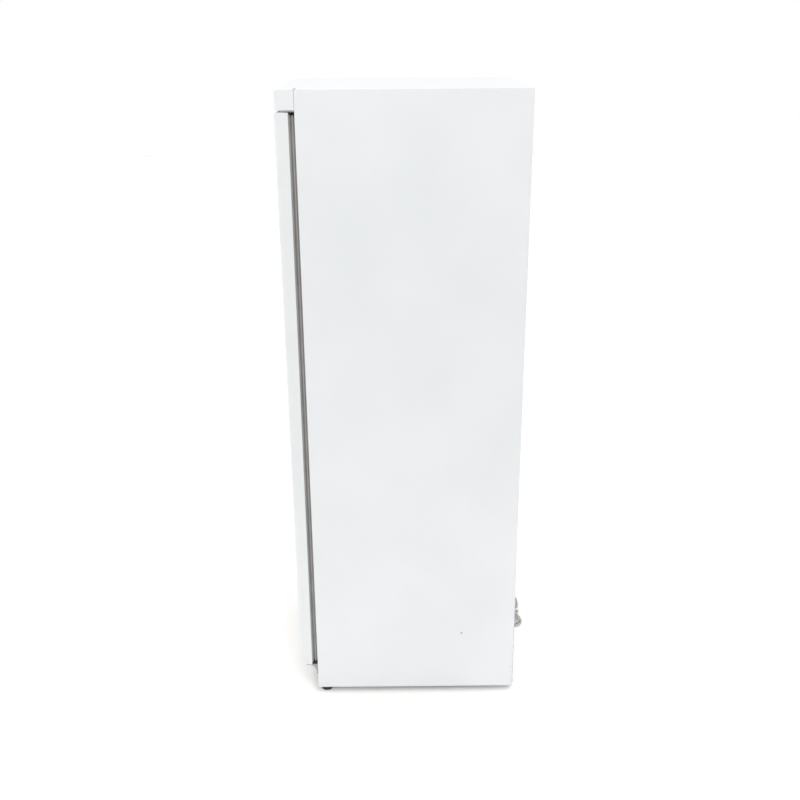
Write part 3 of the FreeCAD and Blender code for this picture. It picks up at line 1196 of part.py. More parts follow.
def plug_body():
    """Moulded plug: a collar round the cord, widening to a flat-faced body; its face looks along -X."""
    p = plug_frame()
    collar = cone(CORD_D / 2 + 0.8, 7.0, p, V(-1, 0, 0), 14.0)
    y, z = p.y, p.z
    x1 = p.x - 10.0
    x0 = p.x - PLUG_LENGTH
    side = [(x0, y - PLUG_HALF_W, 2), (x1 - 10, y - PLUG_HALF_W, 8), (x1, y - 7.5, 3), (x1, y + 7.5, 3),
            (x1 - 10, y + PLUG_HALF_W, 8), (x0, y + PLUG_HALF_W, 2)]
    body = slab(side, on_xy(z - PLUG_HALF_H), V(0, 0, 2 * PLUG_HALF_H))
    tops = [e for e in body.Edges if e.BoundBox.ZLength < 1e-6]
    body = body.makeFillet(1.8, tops)
    return joined([collar, body])


def plug_blades():
    p = plug_frame()
    x0 = p.x - PLUG_LENGTH
    blades = [box(x0 - 17.5, x0, p.y + s * 6.35 - 0.75, p.y + s * 6.35 + 0.75, p.z - 1.0, p.z + 5.3)
              for s in (-1, 1)]
    ground = rod(2.4, V(x0, p.y, p.z - 7.0), V(-1, 0, 0), 19.0)
    tip = [e for e in ground.Edges if len(e.Vertexes) == 1 and abs(e.BoundBox.XMin - x0 + 19.0) < 1e-6
           and e.BoundBox.XLength < 1e-6]
    return blades + [ground.makeFillet(1.2, tip)]


# ---- write every node ----
right = side_panel()
save("side_panel_right", right)
save("side_panel_left", mirror_x(right))
save("top_panel", top_panel())
save("rear_panel", rear_panel())
save("foam_insulation", foam_insulation())
save("inner_liner", inner_liner())
save("breaker_frame", breaker_frame())
save("machine_bay_lining", machine_bay_lining())
save("base_tray", base_tray())
save("header_shell", header_shell())
save("header_face", header_face())
save("kick_grille", kick_grille())
save("machine_cover", machine_cover())
save("panel_screws", panel_screws())

for name, bar in zip(["door_stile_handle", "door_stile_hinge", "door_rail_bottom", "door_rail_top"],
                     door_bars()):
    save(name, bar)
save("door_glass", door_glass())
save("glass_spacer", glass_spacer())
save("glazing_seals", glazing_seals())
save("door_gasket", door_gasket())
save("door_handle", door_handle())
save("hinge_brackets", [hinge_bracket(BOTTOM_PLATE_Z, False), hinge_bracket(TOP_PLATE_Z, True)])
save("hinge_stop", hinge_stop())
save("hinge_bushes", hinge_bushes())
save("hinge_bolts", hinge_bolts())

save("shelf_standards", shelf_standards() + shelf_clips())
shelf = wire_shelf()
for number, height in enumerate(SHELF_ZS, 1):
    save("wire_shelf_%d" % number, moved(shelf, z=height))
save("light_bar_housing", light_bar_housing())
save("light_bar_diffuser", light_bar_diffuser())
save("evaporator_cover", evaporator_cover())
save("evaporator_coil", evaporator_coil())
save("fan_motors", fan_motors())
save("evaporator_fan", fan_blade(V(EVAP_FAN.x, EVAP_BLADE_Y, EVAP_FAN.z), EVAP_FAN_R, 5, FAN_DEPTH))
save("control_housing", control_housing())
save("thermostat_knob", thermostat_knob())
save("lamp_switch", lamp_switch())

save("compressor", compressor())
save("compressor_mounts", compressor_mounts())
save("compressor_terminal_box", compressor_terminal_box())
save("condenser_coil", condenser_coil())
save("condenser_shroud", condenser_shroud())
save("condenser_fan", fan_blade(COND_FAN, COND_FAN_R, 5, FAN_DEPTH))
save("refrigerant_pipes", refrigerant_pipes())
save("evaporation_pan", evaporation_pan())

foot = front_foot()
save("front_foot_right", foot)
save("front_foot_left", mirror_x(foot))
roller = rear_roller()
save("rear_roller_right", roller)
save("rear_roller_left", mirror_x(roller))
bracket = roller_bracket()
save("roller_brackets", [bracket, mirror_x(bracket)])

lead, lead_wire = cord_lead()
save("cord_gland", cord_gland())
save("cord_lead", lead)
save("cord_hank", cord_hank(lead_wire))
save("cord_tie", cord_tie())
save("plug_body", plug_body())
save("plug_blades", plug_blades())
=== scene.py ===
import math

import bpy
import numpy as np
from mathutils import Matrix, Vector


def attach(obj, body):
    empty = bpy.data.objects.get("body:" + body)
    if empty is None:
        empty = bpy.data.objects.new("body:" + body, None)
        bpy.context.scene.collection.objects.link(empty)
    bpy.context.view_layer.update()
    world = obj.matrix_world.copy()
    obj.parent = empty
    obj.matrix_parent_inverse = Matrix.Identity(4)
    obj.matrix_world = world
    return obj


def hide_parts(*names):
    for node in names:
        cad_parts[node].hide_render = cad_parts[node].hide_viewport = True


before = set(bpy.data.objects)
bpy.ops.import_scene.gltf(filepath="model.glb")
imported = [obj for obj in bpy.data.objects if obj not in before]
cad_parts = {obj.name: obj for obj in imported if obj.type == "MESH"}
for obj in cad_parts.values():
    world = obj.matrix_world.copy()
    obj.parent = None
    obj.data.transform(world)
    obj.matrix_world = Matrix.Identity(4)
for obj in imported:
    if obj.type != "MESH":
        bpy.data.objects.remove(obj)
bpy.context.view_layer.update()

print("frame loaded:", len(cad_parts), "nodes")

# the camera stands a little above the cabinet and looks down its hinge side
cameraFacts = {
    "place": (2.916, -0.0121, 1.9638),
    "yaw": -0.167,          # degrees from looking straight along -X
    "pitch": 20.544,        # degrees downwards
    "roll": -0.425,
    "lens": 44.55,
    "sensor": 36.0,
    "clip": (0.05, 60.0),
}


def makeCamera(facts):
    # the view direction from yaw and pitch, then right and up turned by the roll about it
    yaw, pitch, roll = (math.radians(facts[k]) for k in ("yaw", "pitch", "roll"))
    ahead = Vector((-math.cos(yaw) * math.cos(pitch), -math.sin(yaw) * math.cos(pitch), -math.sin(pitch)))
    right = Vector((-math.sin(yaw), math.cos(yaw), 0.0))
    up = right.cross(ahead)
    cosine, sine = math.cos(roll), math.sin(roll)
    right, up = right * cosine + up * sine, up * cosine - right * sine
    lensData = bpy.data.cameras.new("photoCamera")
    lensData.lens = facts["lens"]
    lensData.sensor_width = facts["sensor"]
    lensData.clip_start, lensData.clip_end = facts["clip"]
    camera = bpy.data.objects.new("photoCamera", lensData)
    turn = Matrix((right, up, -ahead)).transposed().to_4x4()
    camera.matrix_world = Matrix.Translation(facts["place"]) @ turn
    bpy.context.collection.objects.link(camera)
    bpy.context.scene.camera = camera


makeCamera(cameraFacts)
print("camera placed")


def hexToLinear(text):
    # sRGB hex to linear: x/12.92 below 0.04045, else ((x+0.055)/1.055)^2.4
    values = [int(text.lstrip("#")[i:i + 2], 16) / 255 for i in (0, 2, 4)]
    return [v / 12.92 if v <= 0.04045 else ((v + 0.055) / 1.055) ** 2.4 for v in values] + [1.0]


def addNode(tree, kind, settings=None, links=None):
    # settings go to the node's property or its input socket of that name; links to the input socket
    node = tree.nodes.new(kind)
    for key, value in (settings or {}).items():
        if isinstance(key, str) and hasattr(node, key):
            setattr(node, key, value)
        else:
            node.inputs[key].default_value = value
    for key, (source, socket) in (links or {}).items():
        tree.links.new(source.outputs[socket], node.inputs[key])
    return node


def newMaterial(name):
    material = bpy.data.materials.new(name)
    material.use_nodes = True
    tree = material.node_tree
    tree.nodes.clear()
    place = addNode(tree, "ShaderNodeTexCoord")
    return material, tree, place


def finishMaterial(tree, surface):
    addNode(tree, "ShaderNodeOutputMaterial", {}, {"Surface": (surface, 0)})


def colourRamp(tree, source, socket, stops):
    ramp = addNode(tree, "ShaderNodeValToRGB", {}, {"Fac": (source, socket)})
    elements = ramp.color_ramp.elements
    while len(elements) < len(stops):
        elements.new(0.5)
    for element, (at, colour) in zip(elements, stops):
        element.position = at
        element.color = colour if isinstance(colour, list) else hexToLinear(colour)
    return ramp


def meshFromGrid(name, grid, closeU=False, closeV=False, material=None, smooth=True):
    # grid[i, j] is a point of the surface; neighbours in i and j make the faces
    rows, columns = grid.shape[:2]
    alongU = np.arange(rows if closeU else rows - 1)
    alongV = np.arange(columns if closeV else columns - 1)
    i, j = np.meshgrid(alongU, alongV, indexing="ij")
    a, b = i % rows, (i + 1) % rows
    c, d = j % columns, (j + 1) % columns
    faces = np.stack([a * columns + c, b * columns + c, b * columns + d, a * columns + d], axis=-1)
    return meshFromArrays(name, grid.reshape(-1, 3), faces.reshape(-1, 4), material, smooth)


def meshFromArrays(name, points, faces, material=None, smooth=True):
    mesh = bpy.data.meshes.new(name)
    mesh.from_pydata(np.asarray(points, float).tolist(), [], np.asarray(faces).tolist())
    mesh.update()
    mesh.polygons.foreach_set("use_smooth", np.full(len(mesh.polygons), smooth))
    piece = bpy.data.objects.new(name, mesh)
    bpy.context.collection.objects.link(piece)
    if material:
        mesh.materials.append(material)
    return piece


stageFacts = {
    "paperColour": "#F4F3F1", "paperRough": 0.9, "paperHalf": 14.0,
    # how much brighter the paper looks to the camera than it lights other things, near and far off; the lower
    # gain near the cabinet is painted shade round its base
    "paperGainWithBaseShade": {"nearReach": 0.33, "farReach": 1.30, "near": 1.20, "far": 1.52},
    "skyLight": 0.76,
    # the two floor cards have grids that keep their light in a narrow cone on the paper
    "lamps": {
        "overhead": {"place": (0.2, 0.1, 4.2), "aim": (0.0, 0.0, 0.9), "size": (3.2, 3.2),
                     "power": 19.5, "spread": 180.0},
        "fillFront": {"place": (1.2, -4.0, 1.5), "aim": (0.0, 0.0, 0.9), "size": (2.4, 2.4),
                      "power": 25.0, "spread": 180.0},
        "lowCard": {"place": (1.1, 0.0, 0.08), "aim": (0.3, 0.0, 0.14), "size": (2.0, 0.12),
                    "power": 0.8, "spread": 180.0},
        "highSide": {"place": (2.6, 0.4, 3.6), "aim": (0.3, 0.0, 1.6), "size": (1.6, 1.6),
                     "power": 16.0, "spread": 180.0},
        "floorCardFront": {"place": (0.1, -0.95, 1.7), "aim": (0.1, -0.80, 0.0), "size": (0.9, 0.5),
                           "power": 0.8, "spread": 55.0},
        "floorCardBack": {"place": (0.1, 0.95, 1.7), "aim": (0.1, 0.80, 0.0), "size": (0.9, 0.5),
                          "power": 1.3, "spread": 55.0},
    },
}


def whereSeen(tree):
    # 1 for rays that show a thing to the camera, straight or by way of gloss or glass, 0 for its light
    rays = addNode(tree, "ShaderNodeLightPath")
    seen = addNode(tree, "ShaderNodeMath", {"operation": "MAXIMUM"},
                   {0: (rays, "Is Camera Ray"), 1: (rays, "Is Glossy Ray")})
    return addNode(tree, "ShaderNodeMath", {"operation": "MAXIMUM"},
                   {0: (seen, 0), 1: (rays, "Is Transmission Ray")})


def makeFloor(facts):
    # white paper: the camera sees it exposed past white, more so far off, so only the shadow stays grey; the
    # smaller exposure near the cabinet paints a soft shade round its base
    material, tree, place = newMaterial("whiteSweepPaper")
    seen = whereSeen(tree)
    gainFacts = facts["paperGainWithBaseShade"]
    # the gain grows with distance from the cabinet's origin: painted shade on the paper round the base
    reach = addNode(tree, "ShaderNodeVectorMath", {"operation": "LENGTH"}, {0: (place, "Object")})
    gain = addNode(tree, "ShaderNodeMapRange",
                   {"From Min": gainFacts["nearReach"], "From Max": gainFacts["farReach"],
                    "To Min": gainFacts["near"], "To Max": gainFacts["far"]}, {"Value": (reach, "Value")})
    factor = addNode(tree, "ShaderNodeMapRange", {"To Min": 1.0},
                     {"Value": (seen, 0), "To Max": (gain, 0)})
    plain = hexToLinear(facts["paperColour"])[:3]
    colour = addNode(tree, "ShaderNodeVectorMath", {"operation": "SCALE", 0: plain}, {"Scale": (factor, 0)})
    paper = addNode(tree, "ShaderNodeBsdfDiffuse", {"Roughness": facts["paperRough"]}, {"Color": (colour, 0)})
    finishMaterial(tree, paper)
    half = facts["paperHalf"]
    corners = [[[x, y, 0.0] for y in (-half, half)] for x in (-half, half)]
    meshFromGrid("floorSweep", np.array(corners), material=material, smooth=False)


def makeWorld(facts):
    world = bpy.data.worlds.new("studioSky")
    bpy.context.scene.world = world
    world.use_nodes = True
    tree = world.node_tree
    tree.nodes.clear()
    seen = whereSeen(tree)
    strength = addNode(tree, "ShaderNodeMapRange", {"To Min": facts["skyLight"], "To Max": 1.0},
                       {"Value": (seen, 0)})
    white = (1.0, 1.0, 1.0, 1.0)
    sky = addNode(tree, "ShaderNodeBackground", {"Color": white}, {"Strength": (strength, 0)})
    addNode(tree, "ShaderNodeOutputWorld", {}, {"Surface": (sky, 0)})


def makeLamp(name, facts):
    data = bpy.data.lights.new(name, "AREA")
    data.shape = "RECTANGLE"
    data.size, data.size_y = facts["size"]
    data.energy = facts["power"]
    data.spread = math.radians(facts["spread"])
    lamp = bpy.data.objects.new(name, data)
    lamp.location = facts["place"]
    aim = Vector(facts["aim"]) - Vector(facts["place"])
    lamp.rotation_euler = aim.to_track_quat("-Z", "Y").to_euler()
    lamp.visible_camera = False
    bpy.context.collection.objects.link(lamp)


makeFloor(stageFacts)
makeWorld(stageFacts)
for lampName, lampFacts in stageFacts["lamps"].items():
    makeLamp(lampName, lampFacts)
bpy.context.scene.view_settings.view_transform = "Standard"
print("floor, sky and lamps made")


def noise(tree, place, scale, detail, roughness=0.5):
    return addNode(tree, "ShaderNodeTexNoise", {"Scale": scale, "Detail": detail, "Roughness": roughness},
                   {"Vector": (place, "Object")})


def cellsOf(tree, place, size, feature="F1"):
    # cells about as wide as the size in metres
    return addNode(tree, "ShaderNodeTexVoronoi", {"Scale": 1 / size, "feature": feature},
                   {"Vector": (place, "Object")})


def between(tree, source, socket, span, start=0.0, end=1.0):
    # values from start to end become values from the low to the high end of the span
    return addNode(tree, "ShaderNodeMapRange",
                   {"From Min": start, "From Max": end, "To Min": span[0], "To Max": span[1]},
                   {"Value": (source, socket)})


def raised(tree, source, socket, strength, distance, below=None):
    links = {"Height": (source, socket)}
    if below:
        links["Normal"] = (below, 0)
    return addNode(tree, "ShaderNodeBump", {"Strength": strength, "Distance": distance}, links)


def finishShell(tree, settings, colour, rough=None, bump=None):
    links = {"Base Color": colour, "Roughness": rough and (rough, 0), "Normal": bump and (bump, 0)}
    links = {key: link for key, link in links.items() if link}
    finishMaterial(tree, addNode(tree, "ShaderNodeBsdfPrincipled", settings, links))


# peel, grain, cell and spangle sizes are in metres, as wide as the real ones unless a note says more
enamelFacts = {
    "light": "#F3F5F7", "dark": "#EDF0F3", "tone": 3.0, "ior": 1.5, "rough": (0.30, 0.40), "grime": 24.0,
    "peel": 0.0025, "peelStrength": 0.10, "peelHeight": 0.0002,     # the real peel is about 1.5 mm across
    "wave": 3.4, "waveStrength": 0.16, "waveHeight": 0.006,         # the flat sheet waves over about 300 mm
    # point, radius and colour of the flush hole plugs on the right-hand side panel
    "plugs": [((0.305, 0.180, 0.215), 0.0032, "#B9BBBD"), ((0.305, 0.335, 0.090), 0.0016, "#B9BBBD")],
}


def coatedSheet(name, f, plugs):
    # white baked enamel on pressed steel: even, semi-gloss, with faint orange peel and waves of the sheet
    material, tree, place = newMaterial(name)
    tone = noise(tree, place, f["tone"], 3.0, 0.45)
    colour, socket = colourRamp(tree, tone, "Fac", [(0.30, f["dark"]), (0.70, f["light"])]), 0
    # small flush hole plugs show as grey dots: within the radius round each point
    for point, radius, grey in plugs:
        away = addNode(tree, "ShaderNodeVectorMath", {"operation": "DISTANCE", 1: point},
                       {0: (place, "Object")})
        inside = addNode(tree, "ShaderNodeMath", {"operation": "LESS_THAN", 1: radius}, {0: (away, "Value")})
        colour, socket = addNode(tree, "ShaderNodeMix", {"data_type": "RGBA", 7: hexToLinear(grey)},
                                 {0: (inside, 0), 6: (colour, socket)}), 2
    peel = noise(tree, place, 1 / f["peel"], 1.0)
    peelBump = raised(tree, peel, "Fac", f["peelStrength"], f["peelHeight"])
    wave = noise(tree, place, f["wave"], 1.0)
    bump = raised(tree, wave, "Fac", f["waveStrength"], f["waveHeight"], peelBump)
    rough = between(tree, noise(tree, place, f["grime"], 4.0), "Fac", f["rough"])
    finishShell(tree, {"IOR": f["ior"]}, (colour, socket), rough, bump)
    return material


zincSheetFacts = {
    "light": "#B9BDBF", "dark": "#9EA3A6", "spangle": 0.012, "rough": (0.34, 0.52), "metallic": 0.9,
    "streak": 60.0, "streakStrength": 0.08, "streakHeight": 0.0003,
}


def zincSheet(f):
    # hot-dip zinc on steel: matt grey metal with spangles
    material, tree, place = newMaterial("zincCoatedSheet")
    spangle = cellsOf(tree, place, f["spangle"])
    shade = addNode(tree, "ShaderNodeSeparateColor", {}, {"Color": (spangle, "Color")})
    colour = colourRamp(tree, shade, "Red", [(0.0, f["dark"]), (1.0, f["light"])])
    rough = between(tree, shade, "Green", f["rough"])
    bump = raised(tree, noise(tree, place, f["streak"], 3.0), "Fac", f["streakStrength"], f["streakHeight"])
    finishShell(tree, {"Metallic": f["metallic"]}, (colour, 0), rough, bump)
    return material


profileFacts = {
    "light": "#F2F4F5", "dark": "#ECEFF1", "tone": 5.0, "ior": 1.5, "rough": (0.34, 0.46),
    "peel": 0.002, "peelStrength": 0.16, "peelHeight": 0.0002,
}


def coatedProfile(f):
    # white powder coat on extruded aluminium: like the sheet, a little duller and more grained
    material, tree, place = newMaterial("powderCoatedExtrusion")
    tone = noise(tree, place, f["tone"], 3.0)
    colour = colourRamp(tree, tone, "Fac", [(0.30, f["dark"]), (0.70, f["light"])])
    bump = raised(tree, noise(tree, place, 1 / f["peel"], 1.5), "Fac", f["peelStrength"], f["peelHeight"])
    finishShell(tree, {"IOR": f["ior"]}, (colour, 0), between(tree, tone, "Fac", f["rough"]), bump)
    return material


glassFacts = {
    "tint": "#FAFEFC", "ior": 1.5, "rough": (0.0, 0.05),
    "smear": 4.0, "smearFrom": 0.55, "smearTo": 0.8,
}


def paneGlass(f):
    # float glass with a trace of iron: clear, slightly green, with a few dusty smears
    material, tree, place = newMaterial("floatGlass")
    smear = noise(tree, place, f["smear"], 5.0, 0.7)
    rough = between(tree, smear, "Fac", f["rough"], f["smearFrom"], f["smearTo"])
    surface = addNode(tree, "ShaderNodeBsdfPrincipled",
                      {"Base Color": hexToLinear(f["tint"]), "Transmission Weight": 1.0, "IOR": f["ior"]},
                      {"Roughness": (rough, 0)})
    finishMaterial(tree, surface)
    return material


drawnFacts = {"rough": (0.28, 0.44), "strength": 0.10, "height": 0.0002, "stretch": 0.04}


def satinAluminium(name, light, dark, grain):
    # aluminium with fine lines left by brushing or drawing along Z, the lines one grain apart
    f = drawnFacts
    material, tree, place = newMaterial(name)
    stretch = addNode(tree, "ShaderNodeMapping", {"Scale": (1 / grain, 1 / grain, f["stretch"] / grain)},
                      {"Vector": (place, "Object")})
    lines = addNode(tree, "ShaderNodeTexNoise", {"Scale": 1.0, "Detail": 3.0}, {"Vector": (stretch, 0)})
    colour = colourRamp(tree, lines, "Fac", [(0.25, dark), (0.75, light)])
    bump = raised(tree, lines, "Fac", f["strength"], f["height"])
    finishShell(tree, {"Metallic": 1.0}, (colour, 0), between(tree, lines, "Fac", f["rough"]), bump)
    return material


vinylFacts = {"patch": 18.0, "grain": 0.0008, "strength": 0.18, "height": 0.0002, "ior": 1.52}


def softVinyl(name, light, dark, rough):
    # extruded flexible vinyl: slightly waxy, with dull patches where hands and frost have been
    f = vinylFacts
    material, tree, place = newMaterial(name)
    patch = noise(tree, place, f["patch"], 4.0)
    colour = colourRamp(tree, patch, "Fac", [(0.25, dark), (0.75, light)])
    bump = raised(tree, noise(tree, place, 1 / f["grain"], 2.0), "Fac", f["strength"], f["height"])
    finishShell(tree, {"IOR": f["ior"]}, (colour, 0), between(tree, patch, "Fac", rough), bump)
    return material


mouldFacts = {"cloud": 9.0, "strength": 0.22, "height": 0.0003, "ior": 1.53}


def mouldedPlastic(name, light, dark, texture, rough):
    # moulded or vacuum-formed plastic with the fine texture of the tool
    f = mouldFacts
    material, tree, place = newMaterial(name)
    cloud = noise(tree, place, f["cloud"], 3.0)
    colour = colourRamp(tree, cloud, "Fac", [(0.30, dark), (0.70, light)])
    bump = raised(tree, cellsOf(tree, place, texture, "SMOOTH_F1"), "Distance", f["strength"], f["height"])
    finishShell(tree, {"IOR": f["ior"]}, (colour, 0), between(tree, cloud, "Fac", rough), bump)
    return material


foamFacts = {
    "light": "#E8D9A0", "dark": "#D2BE80", "rough": 0.85,
    "cell": 0.003, "strength": 0.4, "height": 0.001,
}


def rigidFoam(f):
    # cut polyurethane foam: pale yellow closed cells, really about 1 mm across
    material, tree, place = newMaterial("polyurethaneFoam")
    cells = cellsOf(tree, place, f["cell"])
    colour = colourRamp(tree, cells, "Distance", [(0.0, f["light"]), (0.8, f["dark"])])
    bump = raised(tree, cells, "Distance", f["strength"], f["height"])
    finishShell(tree, {"Roughness": f["rough"]}, (colour, 0), None, bump)
    return material


plateFacts = {"bloom": 90.0, "strength": 0.06, "height": 0.0002}


def zincPlate(name, light, dark, rough, metallic=1.0):
    # plated, stoved or bare small metal parts: slightly uneven colour, worn smoother in patches
    f = plateFacts
    material, tree, place = newMaterial(name)
    bloom = noise(tree, place, f["bloom"], 4.0)
    colour = colourRamp(tree, bloom, "Fac", [(0.25, dark), (0.75, light)])
    bump = raised(tree, bloom, "Fac", f["strength"], f["height"])
    finishShell(tree, {"Metallic": metallic}, (colour, 0), between(tree, bloom, "Fac", rough), bump)
    return material


opalFacts = {
    "light": "#F6F7F7", "dark": "#EDF0F1", "milk": 30.0, "rough": (0.38, 0.5), "ior": 1.49,
    "under": 0.25, "underDepth": 0.004,
}


def frostedDiffuser(f):
    # opal acrylic: milky, letting a little light through
    material, tree, place = newMaterial("opalAcrylic")
    milk = noise(tree, place, f["milk"], 3.0)
    colour = colourRamp(tree, milk, "Fac", [(0.3, f["dark"]), (0.7, f["light"])])
    settings = {"IOR": f["ior"], "Subsurface Weight": f["under"], "Subsurface Scale": f["underDepth"]}
    finishShell(tree, settings, (colour, 0), between(tree, milk, "Fac", f["rough"]))
    return material


# name, light and dark colour, then the grain or texture where there is one, then the roughness
materials = {
    "enamel": coatedSheet("bakedEnamelOnSteel", enamelFacts, []),
    "sideEnamel": coatedSheet("bakedEnamelWithHolePlugs", enamelFacts, enamelFacts["plugs"]),
    "zincSheet": zincSheet(zincSheetFacts),
    "profile": coatedProfile(profileFacts),
    "glass": paneGlass(glassFacts),
    "spacer": satinAluminium("satinSpacerBar", "#B4B7B9", "#95999C", 0.0006),
    "gasket": softVinyl("greyFlexibleVinyl", "#A8A6A5", "#979594", (0.42, 0.60)),
    "glazingSeal": softVinyl("blackGlazingVinyl", "#2A2A2B", "#1D1D1E", (0.45, 0.65)),
    "liner": mouldedPlastic("vacuumFormedPolystyrene", "#F1F3F3", "#E9ECEC", 0.0022, (0.26, 0.36)),
    "foam": rigidFoam(foamFacts),
    "zincPlate": zincPlate("brightZincPlate", "#D2D4D5", "#B2B6B9", (0.22, 0.38)),
    "hingeSteel": zincPlate("dullZincPlate", "#A6A9AA", "#8D9192", (0.34, 0.50)),
    "wire": mouldedPlastic("epoxyDippedWire", "#F2F3F2", "#E6E8E7", 0.0030, (0.22, 0.34)),
    "lampBody": satinAluminium("anodisedExtrusion", "#D6D8DA", "#C3C6C9", 0.0005),
    "diffuser": frostedDiffuser(opalFacts),
    "whitePlastic": mouldedPlastic("whiteMouldedAbs", "#EFF1F2", "#E6E9EA", 0.0012, (0.34, 0.48)),
    "fins": satinAluminium("millFinishFins", "#D3D6D8", "#B4B8BB", 0.0008),
    "blackEnamel": zincPlate("blackStovedEnamel", "#1E1E20", "#141416", (0.26, 0.40), metallic=0.0),
    "blackPlastic": mouldedPlastic("blackGlassFilledNylon", "#2A2B2C", "#1C1D1E", 0.0010, (0.46, 0.62)),
    "mountRubber": softVinyl("blackMountRubber", "#242424", "#161616", (0.62, 0.80)),
    "copper": zincPlate("drawnCopperTube", "#C98B66", "#9C5F42", (0.24, 0.44)),
    "cord": softVinyl("lightGreyFlexibleCordVinyl", "#CCCAC6", "#BAB8B4", (0.40, 0.54)),
    "plug": softVinyl("lightGreyMouldedPlugVinyl", "#CAC8C4", "#B8B6B2", (0.44, 0.58)),
    "brass": zincPlate("stampedBrass", "#D8B66E", "#B8934F", (0.20, 0.36)),
    "greyPrint": mouldedPlastic("greyPadPrint", "#4A4D50", "#3C3F42", 0.0010, (0.55, 0.65)),
    "whitePrint": mouldedPlastic("whitePadPrint", "#F0F0EE", "#E4E4E1", 0.0010, (0.50, 0.60)),
}

# which nodes have each finish
finishNodes = {
    "enamel": ["side_panel_left", "top_panel", "header_shell", "kick_grille"],
    "sideEnamel": ["side_panel_right"],
    "zincSheet": ["rear_panel", "machine_cover", "machine_bay_lining", "base_tray", "roller_brackets",
                  "condenser_shroud"],
    "profile": ["door_stile_handle", "door_stile_hinge", "door_rail_bottom", "door_rail_top"],
    "glass": ["door_glass"],
    "spacer": ["glass_spacer"],
    "gasket": ["door_gasket"],
    "glazingSeal": ["glazing_seals"],
    "liner": ["inner_liner"],
    "foam": ["foam_insulation"],
    "hingeSteel": ["hinge_brackets"],
    "zincPlate": ["panel_screws", "hinge_bolts", "shelf_standards"],
    "wire": ["wire_shelf_1", "wire_shelf_2", "wire_shelf_3", "wire_shelf_4"],
    "lampBody": ["light_bar_housing"],
    "diffuser": ["light_bar_diffuser", "header_face"],
    "whitePlastic": ["breaker_frame", "door_handle", "hinge_bushes", "evaporator_cover", "control_housing",
                     "cord_tie"],
    "fins": ["evaporator_coil", "condenser_coil"],
    "blackEnamel": ["fan_motors", "compressor"],
    # hinge_stop is a made-up black block in the gap below the gasket's bottom end: painted shade of that gap
    "blackPlastic": ["evaporator_fan", "condenser_fan", "thermostat_knob", "lamp_switch",
                     "compressor_terminal_box", "hinge_stop", "evaporation_pan", "front_foot_left",
                     "front_foot_right", "rear_roller_left", "rear_roller_right", "cord_gland"],
    "mountRubber": ["compressor_mounts"],
    "copper": ["refrigerant_pipes"],
    "plug": ["plug_body"],
    "brass": ["plug_blades"],
}
for finish, nodeNames in finishNodes.items():
    for nodeName in nodeNames:
        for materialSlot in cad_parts[nodeName].material_slots:
            materialSlot.material = materials[finish]
print("materials made:", len(materials))


def stampedMarks(name, quads, lift, body, material):
    # each quad runs anticlockwise seen from outside and is raised by the lift into a thin closed slab
    base = np.asarray(quads, float)
    points = np.concatenate([base, base + np.asarray(lift)], axis=1)
    slab = np.array([[4, 5, 6, 7], [3, 2, 1, 0], [0, 1, 5, 4], [1, 2, 6, 5], [2, 3, 7, 6], [3, 0, 4, 7]])
    faces = (slab[None] + 8 * np.arange(len(base))[:, None, None]).reshape(-1, 4)
    marks = meshFromArrays(name, points.reshape(-1, 3), faces, material, smooth=False)
    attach(marks, body)


def rectangles(centre, right, up, spans):
    # spans are left, right, low and high along the two directions from the centre
    left, far, low, high = np.asarray(spans, float).T
    corners = [(left, low), (far, low), (far, high), (left, high)]
    middle = np.asarray(centre)
    return np.stack([middle + a[:, None] * right + b[:, None] * up for a, b in corners], axis=1)


dialFacts = {
    "centre": (0.142, -0.084, 1.640), "inner": 0.0178, "outer": 0.0203, "ticks": 8, "turn": 270.0,
    "thin": 0.0005, "thick": 0.0016, "lift": 0.0001,
    "pointerFront": -0.1012, "pointerSpan": (-0.0007, 0.0007, 0.0030, 0.0102),
}


def makeDial(f):
    # ticks stand round the knob clockwise from the top and grow thicker towards the cold end
    turn = np.radians(np.linspace(0.0, f["turn"], f["ticks"]))[:, None]
    outward = np.hstack([np.sin(turn), 0 * turn, np.cos(turn)])
    across = np.hstack([np.cos(turn), 0 * turn, -np.sin(turn)])
    half = np.linspace(f["thin"], f["thick"], f["ticks"])[:, None] / 2
    corners = [(f["inner"], -1), (f["inner"], 1), (f["outer"], 1), (f["outer"], -1)]
    centre = np.array(f["centre"])
    quads = np.stack([centre + r * outward + side * half * across for r, side in corners], axis=1)
    stampedMarks("dialTicks", quads, (0.0, -f["lift"], 0.0), "cabinet", materials["greyPrint"])
    front = (f["centre"][0], f["pointerFront"], f["centre"][2])
    line = rectangles(front, np.array([1.0, 0, 0]), np.array([0, 0, 1.0]), [f["pointerSpan"]])
    stampedMarks("knobPointerLine", line, (0.0, -f["lift"], 0.0), "thermostat", materials["whitePrint"])


rockerFacts = {
    "x": 0.186, "ridge": (-0.0836, 1.640), "upSlope": (-0.0010, 0.0112), "downSlope": (-0.0040, -0.0112),
    "along": 0.0060, "lift": 0.0001, "bar": (-0.0005, 0.0005, -0.0024, 0.0024), "ringInner": 0.0016,
    "ringOuter": 0.0025, "ringSteps": 32,
}


